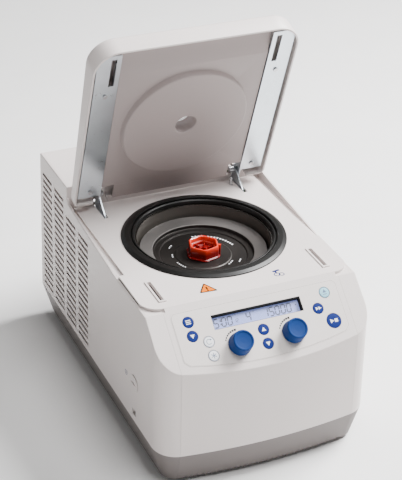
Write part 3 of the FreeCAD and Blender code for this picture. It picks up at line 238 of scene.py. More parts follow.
finishes = {
    "casing": (mouldedPlastic, {"colour": (222, 213, 210), "rough": 0.42, "coat": 0.12}),
    "base": (mouldedPlastic, {"colour": (112, 105, 103), "rough": 0.5}),
    "liner": (mouldedPlastic, {"colour": (164, 152, 150), "rough": 0.5, "grain": 1000}),
    "foil": (mouldedPlastic, {"colour": (226, 218, 214), "rough": 0.3, "grain": 2400}),
    "blackPlastic": (mouldedPlastic, {"colour": (12, 12, 13), "rough": 0.42}),
    "blackPaint": (mouldedPlastic, {"colour": (22, 22, 22), "rough": 0.3, "coat": 0.3, "grain": 500}),
    "blueDial": (mouldedPlastic, {"colour": (14, 50, 108), "rough": 0.55, "ior": 1.2, "grain": 900,
                                  "bump": 0.2}),
    "navyInk": (mouldedPlastic, {"colour": (16, 36, 104), "rough": 0.55, "ior": 1.2, "grain": 2000}),
    "whiteInk": (mouldedPlastic, {"colour": (240, 241, 244), "rough": 0.35, "grain": 2000}),
    "paleInk": (mouldedPlastic, {"colour": (150, 208, 226), "rough": 0.35, "grain": 2000}),
    "greyInk": (mouldedPlastic, {"colour": (92, 110, 140), "rough": 0.4, "grain": 2000}),
    "blackInk": (mouldedPlastic, {"colour": (12, 12, 16), "rough": 0.6, "ior": 1.15, "grain": 2000}),
    "segmentInk": (mouldedPlastic, {"colour": (12, 12, 56), "rough": 0.5, "ior": 1.15, "grain": 2000}),
    "yellowInk": (mouldedPlastic, {"colour": (228, 116, 0), "rough": 0.5, "ior": 1.2, "grain": 2000}),
    # the red runs from colour, painted shade low on the sides, to rim, a painted highlight at the top
    "redPlastic": (tintedPlasticPaintedLight, {"colour": (118, 8, 10), "rim": (222, 52, 26), "rough": 0.22,
                                   "lowZ": 0.205, "highZ": 0.2128}),
    "zinc": (sheetMetal, {"colour": (206, 214, 220), "rough": 0.26, "pull": 0.3}),
    "steel": (sheetMetal, {"colour": (196, 197, 200), "rough": 0.24}),
    "aluminium": (sheetMetal, {"colour": (200, 200, 204), "rough": 0.4, "cloud": 70}),
    "copper": (sheetMetal, {"colour": (196, 122, 84), "rough": 0.3, "cloud": 50}),
    "magnet": (sheetMetal, {"colour": (92, 92, 96), "rough": 0.5}),
    # the cone's colour is much lighter than the field, partly a painted reflection of the studio light
    "darkMetal": (turnedMetal, {"colour": (122, 119, 117), "rough": 0.42, "metal": 0.75, "axisY": -0.0103,
                                "field": (48, 45, 43), "fieldRadius": 0.0669, "pull": 0.35, "coat": 0.1}),
    # wall is darker than lip, partly painted shade deep in the bowl
    "chamber": (chamberSteel, {"wall": (98, 93, 88), "lip": (120, 117, 112), "lipZ": 0.2205}),
    "rubber": (softRubber, {"colour": (13, 12, 11), "rough": 0.38}),
    "foam": (softRubber, {"colour": (48, 48, 48), "rough": 0.85}),
    # painted light: the glass glows with emission for the daylight seen through the lid window
    "glass": (clearPane, {"colour": (250, 251, 252), "rough": 0.12, "alpha": 0.92, "through": 0.55}),
    "screenGlass": (clearPane, {"colour": (225, 230, 245), "rough": 0.05, "alpha": 0.1}),
    "screen": (litPanel, {"colour": (150, 165, 232), "rough": 0.3, "light": 0.35}),
    "board": (circuitBoard, {"colour": (20, 78, 46), "rough": 0.35}),
    "floor": (mouldedPlastic, {"colour": (250, 249, 248), "rough": 0.7, "grain": 60, "bump": 0.02}),
}
made = {}


def finishOf(name):
    if name not in made:
        recipe, look = finishes[name]
        made[name] = recipe(name, look)
    return made[name]


# record slot -> finish used here, for the CAD nodes that stay in view
slotFinish = {"casing": "casing", "base": "base", "rubber": "rubber", "zinc": "zinc", "steel": "steel",
              "liner": "liner", "glass": "glass", "screen_glass": "screenGlass", "screen": "screen",
              "foil": "foil", "navy_key": "navyInk", "white_key": "whiteInk", "pale_key": "paleInk",
              "blue_knob": "blueDial", "red_knob": "redPlastic", "dark_metal": "darkMetal",
              "aluminium": "aluminium", "copper": "copper", "black_plastic": "blackPlastic", "board": "board",
              "foam": "foam", "black_paint": "blackPaint", "magnet": "magnet"}
softEdges = {"housing_shell": 0.35, "top_cover": 0.5, "front_fascia": 0.3, "base_tray": 0.5,
             "front_base_trim": 0.5, "latch_slot_frames": 0.5, "lid_brackets": 0.25, "hinge_brackets": 0.25,
             "release_plug": 0.35, "mains_inlet": 0.6, "mains_rocker": 0.5, "lid_screws": 0.5,
             "rear_screws": 0.5, "rubber_feet": 0.6, "fan_frame": 0.6, "condenser": 0.3, "rotor": 0.4}


def dressCadNodes():
    slots = {row["node"]: row["material_slot"] for row in frame["record"]["subparts"]}
    for name, node in frame["nodes"].items():
        coat = "chamber" if name == "rotor_chamber" else slotFinish[slots[name]]
        node.data.materials.clear()
        node.data.materials.append(finishOf(coat))
        if name in softEdges:
            edge = node.modifiers.new("softEdge", "BEVEL")
            edge.width = softEdges[name] * mm
            edge.segments = 2
            edge.limit_method = "ANGLE"
            edge.angle_limit = math.radians(32)
            edge.harden_normals = True
    print("CAD nodes dressed")


dressCadNodes()


# outlines and meshes

def roundOff(points, radii, steps=6, closed=True):
    # the outline with an arc at each corner; a corner of radius 0 stays sharp
    count = len(points)
    radii = radii if hasattr(radii, "__len__") else [radii] * count
    result = []
    for i, spot in enumerate(points):
        here = Vector(spot)
        back = Vector(points[i - 1]) - here
        on = Vector(points[(i + 1) % count]) - here
        turn = math.pi - back.angle(on)
        if radii[i] <= 0 or turn < 0.02 or (not closed and i in (0, count - 1)):
            result.append(here)
            continue
        half = (math.pi - turn) / 2
        reach = min(radii[i] / math.tan(half), 0.49 * back.length, 0.49 * on.length)
        middle = here + (back.normalized() + on.normalized()).normalized() * (reach / math.cos(half))
        start = here + back.normalized() * reach - middle
        end = here + on.normalized() * reach - middle
        for k in range(steps + 1):
            share = k / steps
            result.append(middle + (start * math.sin((1 - share) * turn) + end * math.sin(share * turn))
                          / math.sin(turn))
    return result


def lathe(profile, steps=128, closed=False, wobble=None):
    # turns (radius, height) points about Z; a point on the axis becomes a pole
    points, faces, rings = [], [], []
    for radius, height in profile:
        if radius < 1e-6:
            rings.append([len(points)])
            points.append(Vector((0, 0, height)))
            continue
        rings.append(list(range(len(points), len(points) + steps)))
        for i in range(steps):
            angle = 2 * math.pi * i / steps
            reach = radius + (wobble(angle, radius, height) if wobble else 0)
            points.append(Vector((reach * math.cos(angle), reach * math.sin(angle), height)))
    pairs = list(zip(rings, rings[1:])) + ([(rings[-1], rings[0])] if closed else [])
    for low, high in pairs:
        for i in range(steps):
            j = i + 1
            quad = [low[i % len(low)], low[j % len(low)], high[j % len(high)], high[i % len(high)]]
            faces.append(list(dict.fromkeys(quad)))
    return points, faces


def loft(rings):
    # joins rings of equal count and caps the two ends
    points = [Vector(spot) for ring in rings for spot in ring]
    count = len(rings[0])
    faces = []
    for k in range(len(rings) - 1):
        first, second = k * count, (k + 1) * count
        for i in range(count):
            j = (i + 1) % count
            faces.append([first + i, first + j, second + j, second + i])
    faces.append(list(range(count - 1, -1, -1)))
    faces.append(list(range(len(points) - count, len(points))))
    return points, faces


def prism(outline, low, high):
    return loft([[(x, y, low) for x, y in outline], [(x, y, high) for x, y in outline]])


def merged(*parts):
    points, faces = [], []
    for morePoints, moreFaces in parts:
        start = len(points)
        points += morePoints
        faces += [[start + i for i in face] for face in moreFaces]
    return points, faces


def moved(part, matrix):
    return [matrix @ Vector(spot) for spot in part[0]], part[1]


def makeMesh(name, part, matrix=None):
    points, faces = moved(part, matrix) if matrix else part
    mesh = bpy.data.meshes.new(name)
    mesh.from_pydata([Vector(spot) * mm for spot in points], [], faces)
    work = bmesh.new()
    work.from_mesh(mesh)
    bmesh.ops.remove_doubles(work, verts=work.verts, dist=0.002 * mm)
    bmesh.ops.recalc_face_normals(work, faces=work.faces)
    work.to_mesh(mesh)
    work.free()
    return mesh


def addPiece(name, mesh, finish, body, stands=(), smooth=34, marks=()):
    # marks: more (mesh, finish) pairs joined to the piece, such as printed symbols
    whole = bmesh.new()
    for index, (each, coat) in enumerate([(mesh, finish), *marks]):
        before = len(whole.faces)
        whole.from_mesh(each)
        whole.faces.ensure_lookup_table()
        for face in whole.faces[before:]:
            face.material_index = index
            face.smooth = True
    result = bpy.data.meshes.new(name)
    whole.to_mesh(result)
    whole.free()
    result.set_sharp_from_angle(angle=math.radians(smooth))
    for coat in [finish, *[coat for _, coat in marks]]:
        result.materials.append(finishOf(coat))
    piece = bpy.data.objects.new(name, result)
    bpy.context.collection.objects.link(piece)
    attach(piece, body)
    if stands:
        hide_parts(*stands)
    return piece


def carve(mesh, *tools):
    # boolean difference, applied
    holder = bpy.data.objects.new("carving", mesh)
    bpy.context.collection.objects.link(holder)
    cutters = []
    for index, tool in enumerate(tools):
        cutter = bpy.data.objects.new(f"cutter{index}", tool)
        bpy.context.collection.objects.link(cutter)
        cutters.append(cutter)
        cut = holder.modifiers.new(f"cut{index}", "BOOLEAN")
        cut.operation = "DIFFERENCE"
        cut.solver = "EXACT"
        cut.object = cutter
    bpy.context.view_layer.update()
    result = bpy.data.meshes.new_from_object(holder.evaluated_get(bpy.context.evaluated_depsgraph_get()))
    for thing in [holder, *cutters]:
        bpy.data.objects.remove(thing)
    return result


def cutPlate(name, outline, holes, low, high, edge=0.15, matrix=None):
    # flat sheet with holes and softly rounded edges
    curve = bpy.data.curves.new(name, "CURVE")
    curve.dimensions = "2D"
    curve.fill_mode = "BOTH"
    curve.extrude = (high - low) / 2 - edge
    curve.bevel_depth = edge
    curve.bevel_resolution = 1
    curve.offset = -edge
    for index, loop in enumerate([outline, *holes]):
        area = sum(a[0] * b[1] - b[0] * a[1] for a, b in zip(loop, [*loop[1:], loop[0]]))
        loop = loop if (area > 0) == (index == 0) else loop[::-1]
        spline = curve.splines.new("POLY")
        spline.points.add(len(loop) - 1)
        for point, (x, y) in zip(spline.points, loop):
            point.co = (x, y, 0, 1)
        spline.use_cyclic_u = True
    holder = bpy.data.objects.new(name, curve)
    bpy.context.collection.objects.link(holder)
    bpy.context.view_layer.update()
    flat = bpy.data.meshes.new_from_object(holder.evaluated_get(bpy.context.evaluated_depsgraph_get()))
    bpy.data.objects.remove(holder)
    part = ([vertex.co + Vector((0, 0, (low + high) / 2)) for vertex in flat.vertices],
            [list(face.vertices) for face in flat.polygons])
    return makeMesh(name, part, matrix)


def circle(x, y, radius, steps=48):
    return [(x + radius * math.cos(2 * math.pi * i / steps), y + radius * math.sin(2 * math.pi * i / steps))
            for i in range(steps)]


def bar(x, y, long, wide, angle=0.0):
    # small rectangle about (x, y), for printed symbols
    c, s = math.cos(math.radians(angle)), math.sin(math.radians(angle))
    return [(x + u * c - v * s, y + u * s + v * c)
            for u, v in ((-long / 2, -wide / 2), (long / 2, -wide / 2),
                         (long / 2, wide / 2), (-long / 2, wide / 2))]


def arrow(x, y, size, angle=90.0):
    turns = [math.radians(angle + k * 120) for k in range(3)]
    return [(x + size * math.cos(turn), y + size * math.sin(turn)) for turn in turns]


def hoop(x, y, radius, wide, start=0.0, end=360.0, steps=40):
    # ring or arc of short quads
    quads = []
    for i in range(steps):
        first = math.radians(start + (end - start) * i / steps)
        second = math.radians(start + (end - start) * (i + 1) / steps)
        quads.append([(x + r * math.cos(a), y + r * math.sin(a)) for r, a in
                      ((radius - wide / 2, first), (radius + wide / 2, first),
                       (radius + wide / 2, second), (radius - wide / 2, second))])
    return quads


def printed(name, shapes, low, high, matrix):
    return makeMesh(name, merged(*[prism(shape, low, high) for shape in shapes]), matrix)


# where things stand, from the frame

panel = {"topY": -154.7, "topZ": 224.6, "slope": 40.8}
bowlY = -10.3
hinge = next(joint for joint in frame["joints"] if joint["name"] == "lid_hinge")
hingeSpot = Vector(hinge["pos_m"]) / mm
lidOpen = Matrix.Translation(hingeSpot) @ Matrix.Rotation(math.radians(hinge["range_deg"][0]), 4, "X") \
    @ Matrix.Translation(-hingeSpot)


def onPanel(x, down, rise=0.0):
    # x to the right, y up the slope, z out of the panel
    lean = math.radians(panel["slope"])
    spot = Vector((x, panel["topY"] - down * math.cos(lean) - rise * math.sin(lean),
                   panel["topZ"] - down * math.sin(lean) + rise * math.cos(lean)))
    return Matrix.Translation(spot) @ Matrix.Rotation(lean, 4, "X")


def atBowl(height=0.0):
    return Matrix.Translation((0, bowlY, height))


# chamber ring, rotor lid and its knob

seal = {"outer": 108.6, "inner": 89.6, "top": 229.2, "deck": 224.7}


def chamberSeal():
    s = seal
    # wide sloping flange, a deep groove, then a thin inner bead beside the bowl's lip
    profile = roundOff([(s["inner"], 222.1), (94.4, 222.1), (94.4, 217.0), (96.6, 217.0), (96.6, s["deck"]),
                        (s["outer"], s["deck"]), (s["outer"] - 0.3, s["deck"] + 1.4), (103.4, s["top"] - 0.8),
                        (97.6, s["top"]), (96.2, s["top"] - 0.3), (95.6, 224.4), (94.0, 224.4),
                        (93.6, 227.6), (92.2, 227.8), (90.6, 226.4), (s["inner"], 223.4)],
                       [0.2, 0.2, 0.3, 0.3, 0.3, 0.3, 0.9, 3.0, 0.9, 0.6, 0.7, 0.7, 0.6, 0.6, 1.0, 0.3])
    addPiece("chamberSeal", makeMesh("seal", lathe(profile, 160, closed=True), atBowl()), "rubber",
             "housing", ["chamber_seal"])


rotorCover = {  # words: (start, end, radius, width) of each arc, in degrees and mm
    "top": 206.0, "outer": 83.8, "field": 195.9,
    "words": ((10, 88, 47, 2.4), (130, 142, 47, 1.4), (160, 172, 41, 1.3),
              (190, 215, 41, 1.3), (300, 318, 41, 1.4), (316, 326, 50, 1.4)),
}


def rotorLid():
    # wide satin cone outside, a step down, a dark field and a raised middle
    top, outer, field = rotorCover["top"], rotorCover["outer"], rotorCover["field"]
    profile = roundOff([(18, 195.0), (36, 194.6), (57, 195.2), (66.9, 196.2), (67.6, 200.6),
                        (75.8, top - 3.7),
                        (79.4, top - 2.4), (81.6, top - 0.8), (outer, top - 0.8), (outer, top), (83, top),
                        (67.8, 202.6), (66.4, 202.0), (65.8, 197.7), (58.4, 197.3), (57.4, field),
                        (38, field), (36.4, field + 0.7), (18, field + 0.7)],
                       [0, 0, 1, 0.4, 1, 0.4, 0.3, 0.2, 0.3, 0.3, 0.5, 0.9, 0.6, 1.2, 0.4, 0.4, 0.5, 0.5, 0])
    dish = lathe(profile, 160, closed=True)
    words = []
    for start, end, radius, wide in rotorCover["words"]:
        steps = max(3, int((end - start) / 5))
        for i in range(steps):
            first = start + (end - start) * i / steps
            words += hoop(0, 0, radius, wide, first, first + (end - start) / steps * 0.55, 2)
    marks = printed("rotorMarks", words, field - 0.1, field + 0.15, atBowl())
    addPiece("rotorLid", makeMesh("rotorLid", dish, atBowl()), "darkMetal", "rotor_cover",
             ["rotor_lid"], marks=[(marks, "whiteInk")])


knob = {"low": 196.9, "tall": 16.5, "outer": 21.9, "flange": 23.2, "turn": 14.0}


def rotorKnob():
    # hexagonal cup on a round flange, with a stepped inside, a lever tab and a recess for the nut
    low, high = knob["low"], knob["low"] + knob["tall"]

    def ring(radius, z, sharp):
        corners = [(radius * math.cos(math.radians(60 * i + knob["turn"])),
                    radius * math.sin(math.radians(60 * i + knob["turn"]))) for i in range(6)]
        return [(x, y, z) for x, y in roundOff(corners, sharp, 7)]

    def disc(radius, z):
        base = ring(20, z, 4)
        return [tuple(Vector((x, y)).normalized() * radius) + (z,) for x, y, _ in base]

    outer, flange = knob["outer"], knob["flange"]
    levels = [disc(14.6, low + 3.6), disc(15, low), disc(flange - 0.6, low), disc(flange, low + 0.6),
              disc(flange - 0.1, low + 1.6), ring(outer, low + 2.2, 2.5), ring(outer - 0.2, high - 5, 3),
              disc(outer - 1.5, high - 1.3), disc(outer - 2.0, high - 0.3), disc(outer - 3.0, high),
              disc(17.8, high - 0.7), disc(16.8, low + 11), disc(14.6, low + 10), disc(13.4, low + 6.6),
              disc(6.4, low + 5.8), disc(5.6, low + 7.2), disc(3.6, low + 7.2), disc(3.0, low + 3)]
    cup = loft(levels)
    tab = moved(prism(roundOff(bar(20.2, 0, 5.4, 2.4), 0.9, 3), low + 0.6, high - 0.4),
                Matrix.Rotation(math.radians(-31), 4, "Z"))
    fin = prism(bar(9.6, 0, 6.5, 1.1), low + 5.8, low + 9.2)
    fins = [moved(fin, Matrix.Rotation(math.radians(60 * i), 4, "Z")) for i in range(6)]
    addPiece("rotorKnob", makeMesh("knob", merged(cup, tab, *fins), atBowl()), "redPlastic",
             "rotor_lid_knob", ["rotor_lid_knob"])


chamberSeal()
rotorLid()
rotorKnob()
print("chamber and rotor done")


# control panel

dial = {"x": 36.4, "down": 63.7, "radius": 15.0, "tall": 17.5, "skirt": 0.6, "teeth": 40}


def dials():
    skirt, tall, radius = dial["skirt"], dial["tall"], dial["radius"]
    profile = roundOff([(0, -8.6), (3, -8.6), (3, skirt), (radius - 0.9, skirt), (radius, skirt + 0.7),
                        (radius - 0.1, skirt + 1.8), (13.4, tall - 1.2), (12.4, tall),
                        (10.9, tall - 0.1), (10.2, tall - 0.9), (4, tall - 1.4), (0, tall - 1.5)],
                       [0, 0, 0, 0.5, 0.5, 2, 1.6, 0.8, 0.5, 0.8, 2, 0], closed=False)

    def grip(angle, radius, height):
        # shallow flutes that fade out before the rounded top
        if radius < 11.8 or height < 1:
            return 0
        return 0.1 * math.cos(angle * dial["teeth"]) * min(1, max(0, (tall - 3 - height) / 4))

    for name, side in (("time_knob", -1), ("speed_knob", 1)):
        mesh = makeMesh(name, lathe(profile, 160, wobble=grip), onPanel(side * dial["x"], dial["down"]))
        addPiece("dial." + name, mesh, "blueDial", name, [name])


def keyMarks(key):
    # generic pictograms in the place of words
    up, down = [arrow(0, -0.4, 3.4)], [arrow(0, 0.4, 3.4, -90)]
    return {
        "menu_key": [bar(0, 2.2, 6.4, 1.0), bar(0, 0, 6.4, 1.0), bar(0, -2.2, 6.4, 1.0)],
        "down_key": down, "colder_key": down, "warmer_key": up,
        "spin_key": hoop(0, 0, 3.2, 0.7, 40, 320, 18) + [arrow(2.6, 2.3, 1.5, 100)],
        "cool_key": [bar(0, 0, 7.4, 0.7, angle) for angle in (30, 90, 150)],
        "short_key": [arrow(-2.0, 0, 2.6, 0), arrow(1.8, 0, 2.6, 0)],
        "open_key": [arrow(0, 1.2, 2.9), bar(0, -2.4, 5.2, 0.9)],
        "start_stop_key": [arrow(-3.2, 0, 3.2, 0), bar(3.0, 0, 4.4, 4.4)],
    }[key]


keyLook = {  # key: (x, down, radius, cap finish, mark finish, rim finish)
    "menu_key": (-92.2, 23.4, 7.0, "navyInk", "whiteInk", None),
    "down_key": (-92.0, 41.6, 7.0, "navyInk", "whiteInk", None),
    "spin_key": (-73.7, 52.5, 7.0, "whiteInk", "greyInk", "greyInk"),
    "cool_key": (-73.0, 70.5, 7.0, "whiteInk", "greyInk", "greyInk"),
    "warmer_key": (-0.6, 52.3, 7.0, "navyInk", "whiteInk", None),
    "colder_key": (-0.2, 70.7, 7.0, "navyInk", "whiteInk", None),
    "short_key": (78.3, 41.6, 7.0, "navyInk", "whiteInk", None),
    "open_key": (93.4, 23.3, 7.0, "paleInk", "greyInk", "greyInk"),
    "start_stop_key": (93.7, 61.2, 9.6, "navyInk", "whiteInk", None),
}


def keys():
    for name, (x, down, radius, cap, ink, rim) in keyLook.items():
        profile = roundOff([(0, -4.1), (radius + 1.2, -4.1), (radius + 1.2, -3.4), (radius, -3.4),
                            (radius, 0.6), (radius * 0.55, 0.8), (0, 0.74)],
                           [0, 0.2, 0.2, 0, 0.45, 2, 0], closed=False)
        place = onPanel(x, down)
        marks = [(printed(name + "Mark", keyMarks(name), 0.6, 0.84, place), ink)]
        if rim:
            edge = hoop(0, 0, radius - 0.55, 0.5, steps=64)
            marks.append((printed(name + "Rim", edge, 0.4, 0.82, place), rim))
        mesh = makeMesh(name, lathe(profile, 64), place)
        addPiece("cap." + name, mesh, cap, name, [name], marks=marks)


screen = {"left": -62.0, "right": 59.0, "top": 21.0, "low": 40.0}


foilSize = {"half": 112.3, "top": -9, "shoulder": -14, "side": -71, "low": -88.6, "bow": 11.2,
            "bowHalf": 106, "corner": 4, "scaleReach": 18.0, "scaleStart": 152}


def keypadFoil():
    # printed foil: its lower edge follows the bow of the front
    f = foilSize
    half, reach, corner = f["half"], f["bowHalf"], f["corner"]
    low = [(x, f["low"] + f["bow"] * (x / reach) ** 2) for x in (-reach, -80, -54, -28, 0, 28, 54, 80, reach)]
    outline = [(-half, f["shoulder"]), (-half, f["side"]), *low, (half, f["side"]), (half, f["shoulder"]),
               (half - 3, f["top"]), (-half + 3, f["top"])]
    radii = [corner] * 3 + [0] * 7 + [corner] * 5
    window = [(screen["left"], -screen["low"]), (screen["right"], -screen["low"]),
              (screen["right"], -screen["top"]), (screen["left"], -screen["top"])]
    holes = [circle(x, -down, radius + 0.45, 64) for x, down, radius, *_ in keyLook.values()]
    holes += [circle(side * dial["x"], -dial["down"], 4.5, 32) for side in (-1, 1)]
    foil = cutPlate("foil", roundOff(outline, radii, 8), [window, *holes], 0, 0.3, 0.08, onPanel(0, 0))
    border = []
    edge = roundOff([(x * 0.993, y + (0.8 if y < -40 else -0.8)) for x, y in outline], radii, 8)
    for a, b in zip(edge, [*edge[1:], edge[0]]):
        along = b - a
        if along.length > 0.01:
            side = Vector((-along.y, along.x)).normalized() * 0.12
            border.append([a - side, b - side, b + side, a + side])
    dots = []
    for side in (-1, 1):
        for i in range(7):
            # squares that grow toward the top of the scale
            angle = f["scaleStart"] - i * 10
            reach = f["scaleReach"] + 0.12 * i
            x = side * dial["x"] + reach * math.cos(math.radians(angle))
            y = -dial["down"] + reach * math.sin(math.radians(angle))
            dots.append(bar(x, y, 2.0 + 0.12 * i, 1.5 + 0.16 * i, angle + 90))
    marks = [(printed("foilEdge", border, 0.25, 0.34, onPanel(0, 0)), "base"),
             (printed("dialScale", dots, 0.25, 0.36, onPanel(0, 0)), "blackInk")]
    addPiece("keypadFoil", foil, "foil", "housing", ["keypad_foil"], smooth=10, marks=marks)


def digitBars(text, x, y, tall):
    # seven-segment figures, leaning a little; strokes are thin bars
    lit = {"0": "abcdef", "1": "bc", "2": "abged", "3": "abgcd", "4": "fgbc", "5": "afgcd", "6": "afgedc",
           "7": "abc", "8": "abcdefg", "9": "abcdfg", "-": "g"}
    wide, half, stroke = tall * 0.5, tall / 2, tall * 0.15
    spots = {"a": (0, half, 0), "g": (0, 0, 0), "d": (0, -half, 0), "f": (-wide / 2, half / 2, 90),
             "b": (wide / 2, half / 2, 90), "e": (-wide / 2, -half / 2, 90), "c": (wide / 2, -half / 2, 90)}
    shapes = []
    for letter in text:
        if letter == ":":
            dot = stroke * 1.3
            shapes += [bar(x - wide * 0.35, y + v, dot, dot) for v in (-half * 0.4, half * 0.4)]
            x += wide * 0.45
            continue
        for part in lit.get(letter, ""):
            u, v, angle = spots[part]
            long = (wide if angle == 0 else half) * 0.82
            shapes.append([(px + (py - y) * 0.1, py) for px, py in bar(x + u, y + v, long, stroke, angle)])
        x += wide * 1.5
    return shapes


def displayModule():
    # glass with its figures, set deep in a black surround
    place = onPanel(0, 0)
    left, right, top, low = (screen[key] for key in ("left", "right", "top", "low"))
    glass = prism([(left + 0.8, -low + 0.8), (right - 0.8, -low + 0.8), (right - 0.8, -top - 0.8),
                   (left + 0.8, -top - 0.8)], -6.4, -4.6)
    outside = [(left + 0.05, -low + 0.05), (right - 0.05, -low + 0.05), (right - 0.05, -top - 0.05),
               (left + 0.05, -top - 0.05)]
    inside = [(left + 0.4, -low + 0.4), (right - 2.3, -low + 0.4), (right - 2.3, -top - 2.6),
              (left + 0.4, -top - 2.6)]
    surround = cutPlate("surround", outside, [inside], -6.4, 0.2, 0.1, place)
    middle = -(top + low) / 2 - 0.9
    figures = digitBars("5:00", left + 6, middle, 10.6) + digitBars("4", -12.5, middle, 10.6) \
        + digitBars("15000", 11, middle, 10.6)
    small = [bar(left + 30 + 3 * i, -top - 4.2, 1.4, 0.5) for i in range(2)]
    small += [bar(-4.5, -top - 5, 1.1, 1.1)]
    small += digitBars("12", left + 31, middle - 1.6, 4.2) + [arrow(right - 6.2, middle + 2, 1.3, 0)]
    ink = printed("figures", figures + small, -4.65, -4.52, place)
    addPiece("displayModule", makeMesh("lcd", glass, place), "screen", "housing",
             ["display_module"], marks=[(surround, "blackInk"), (ink, "segmentInk")])


dials()
keys()
keypadFoil()
displayModule()
print("control panel done")


# deck corners

step = {"x": 116.4, "y": -130.7, "outer": 23.75, "edgeX": 140.15, "edgeY": -155.35, "low": 219.2,
        "ledge": 220.6, "under": 221.8}


def cornerLedges():
    # ledges that close the casing below the deck's rounded front corners, with an upstand under the deck
    parts = []
    for side in (-1, 1):
        def sweep(radius):
            return [(side * (step["x"] + radius * math.sin(math.radians(t))),
                     step["y"] - radius * math.cos(math.radians(t))) for t in range(0, 91, 6)]

        corner = [(side * step["x"], step["edgeY"]), (side * step["edgeX"], step["edgeY"]),
                  (side * step["edgeX"], step["y"])]
        inner = sweep(step["outer"] - 2)[::-1]
        parts.append(prism(corner + inner, step["low"], step["ledge"]))
        parts.append(prism(sweep(step["outer"]) + inner, step["low"], step["under"]))
    addPiece("cornerLedges", makeMesh("ledges", merged(*parts)), "casing", "housing")


cornerLedges()
print("deck corners done")


# lid

lidSize = {  # reliefs clear the hinge fins and the sense pin; the low back clears the casing's hump
    "reliefs": ((-112.5, -91.5), (88.0, 112.5)), "reliefY": (96, 125), "wellRadius": 17,
    "lowBack": ((-91, 91), (113, 120)), "cutFrom": 220,
    "half": 139.8, "front": -153.1, "back": 117.4, "rim": 225.6, "top": 257.6,
    "wall": 2.6, "frontCorner": 34.0, "backCorner": 8.0, "edge": 8.0,
}
liner = {"half": 101.4, "front": -149.0, "crease": -110.0, "back": 116.6, "tongue": 84, "shoulder": 92,
         "face": 231.2, "thick": 2.2, "frontFace": 239.0, "disc": 86.0, "discFace": 223.0, "hole": 14.0}


def lidTop(y):
    # the lid thins toward its hinge
    return lidSize["top"] - 12.6 * max(0.0, (y + 110) / 227.4) ** 2 - 1.0 * max(0.0, (-110 - y) / 43) ** 2


def lidRing(inset, drop=None, height=None):
    s = lidSize
    x, front, back = s["half"] - inset, s["front"] + inset, s["back"] - inset
    corners = [(x, front), (x, back), (-x, back), (-x, front)]
    near, far = max(1.0, s["frontCorner"] - inset), max(1.0, s["backCorner"] - inset)
    outline = roundOff(corners, [near, far, far, near], 12)
    return [(u, v, lidTop(v) - drop if height is None else height) for u, v in outline]


def shrunk(ring, share, drop):
    middle = Vector((0, (lidSize["front"] + lidSize["back"]) / 2))
    result = []
    for u, v, _ in ring:
        spot = middle + (Vector((u, v)) - middle) * share
        result.append((spot.x, spot.y, lidTop(spot.y) - drop))
    return result


def lidShell():
    s = lidSize
    edge = s["edge"]

    def skin(inset, radius, lowest):
        rings = [lidRing(inset, height=lowest)]
        for k in range(9):
            angle = math.radians(90 * k / 8)
            rings.append(lidRing(inset + radius * (1 - math.cos(angle)),
                                 drop=inset + radius * (1 - math.sin(angle))))
        last = rings[-1]
        rings += [shrunk(last, share, inset) for share in (0.92, 0.8, 0.65, 0.5, 0.35, 0.2, 0.08)]
        return rings

    outer = skin(0, edge, s["rim"] + 0.7)
    inner = skin(s["wall"], edge - s["wall"], s["rim"])
    rim = [lidRing(0.25, height=s["rim"] + 0.2), lidRing(0.8, height=s["rim"])]
    part = loft([*outer[::-1], *rim, *inner])
    radius, cutFrom = s["wellRadius"], s["cutFrom"]
    tools = [makeMesh("well", lathe([(0, 200), (radius, 200), (radius, 300), (0, 300)], 64), atBowl())]

    def block(name, across, along, top):
        outline = [(across[0], along[0]), (across[1], along[0]), (across[1], along[1]), (across[0], along[1])]
        tools.append(makeMesh(name, prism(outline, cutFrom, top)))

    for across in s["reliefs"]:
        block("relief", across, s["reliefY"], hingeSpot.z + 6)
    block("lowBack", *s["lowBack"], liner["face"] + 2)
    mesh = carve(makeMesh("lidShell", part), *tools)
    mesh.transform(Matrix.Scale(1 / mm, 4))
    mesh.transform(lidOpen)
    mesh.transform(Matrix.Scale(mm, 4))
    addPiece("lidShell", mesh, "casing", "lid", ["lid_shell"], smooth=40)


def lidLiner():
    s = liner
    half, tongue, shoulder = s["half"], s["tongue"], s["shoulder"]
    outline = [(-half, s["crease"]), (half, s["crease"]), (half, shoulder), (tongue, shoulder),
               (tongue, s["back"]), (-tongue, s["back"]), (-tongue, shoulder), (-half, shoulder)]
    plate = cutPlate("liner", roundOff(outline, [0, 0, 1, 1, 2, 2, 1, 1], 3), [circle(0, bowlY, 16.9, 64)],
                     s["face"], s["face"] + s["thick"], 0.3)
    apron = []
    for x in (-s["half"], s["half"]):
        apron.append([(x, s["crease"] + 0.6, s["face"]), (x, s["crease"] + 0.6, s["face"] + s["thick"]),
                      (x, s["front"] + 0.6, s["frontFace"] + s["thick"]),
                      (x, s["front"], s["frontFace"] + 1.2),
                      (x, s["front"] + 0.8, s["frontFace"])])
    disc = roundOff([(s["hole"], s["discFace"]), (s["disc"], s["discFace"]), (s["disc"] + 1.2, s["face"]),
                     (s["disc"] + 4, s["face"] + 0.2), (s["disc"] + 4, s["face"] + 1),
                     (16.8, s["face"] + 1), (16.8, 245.3), (15.4, 245.3), (s["hole"], 236)],
                    [2.2, 2.6, 2.4, 0, 0, 0.5, 0.3, 0.3, 0.8])
    marks = [(makeMesh("apron", loft(apron), lidOpen), "liner"),
             (makeMesh("disc", lathe(disc, 128, closed=True), lidOpen @ atBowl()), "liner")]
    part = ([vertex.co / mm for vertex in plate.vertices], [list(face.vertices) for face in plate.polygons])
    addPiece("lidLiner", makeMesh("linerPlate", part, lidOpen), "liner", "lid", ["lid_inner_panel"],
             marks=marks)


lidShell()
lidLiner()
print("lid done")


# printed marks on the deck and the side

# side plug's mark included
deckMark = {"warning": (-50.0, -133.0), "triangle": 14.0, "yellow": 10.8, "lean": -4.0,
            "tube": (48.0, -131.0), "tubeScale": 1.4, "plug": (-144.5, -102, 105), "deckZ": 224.6}


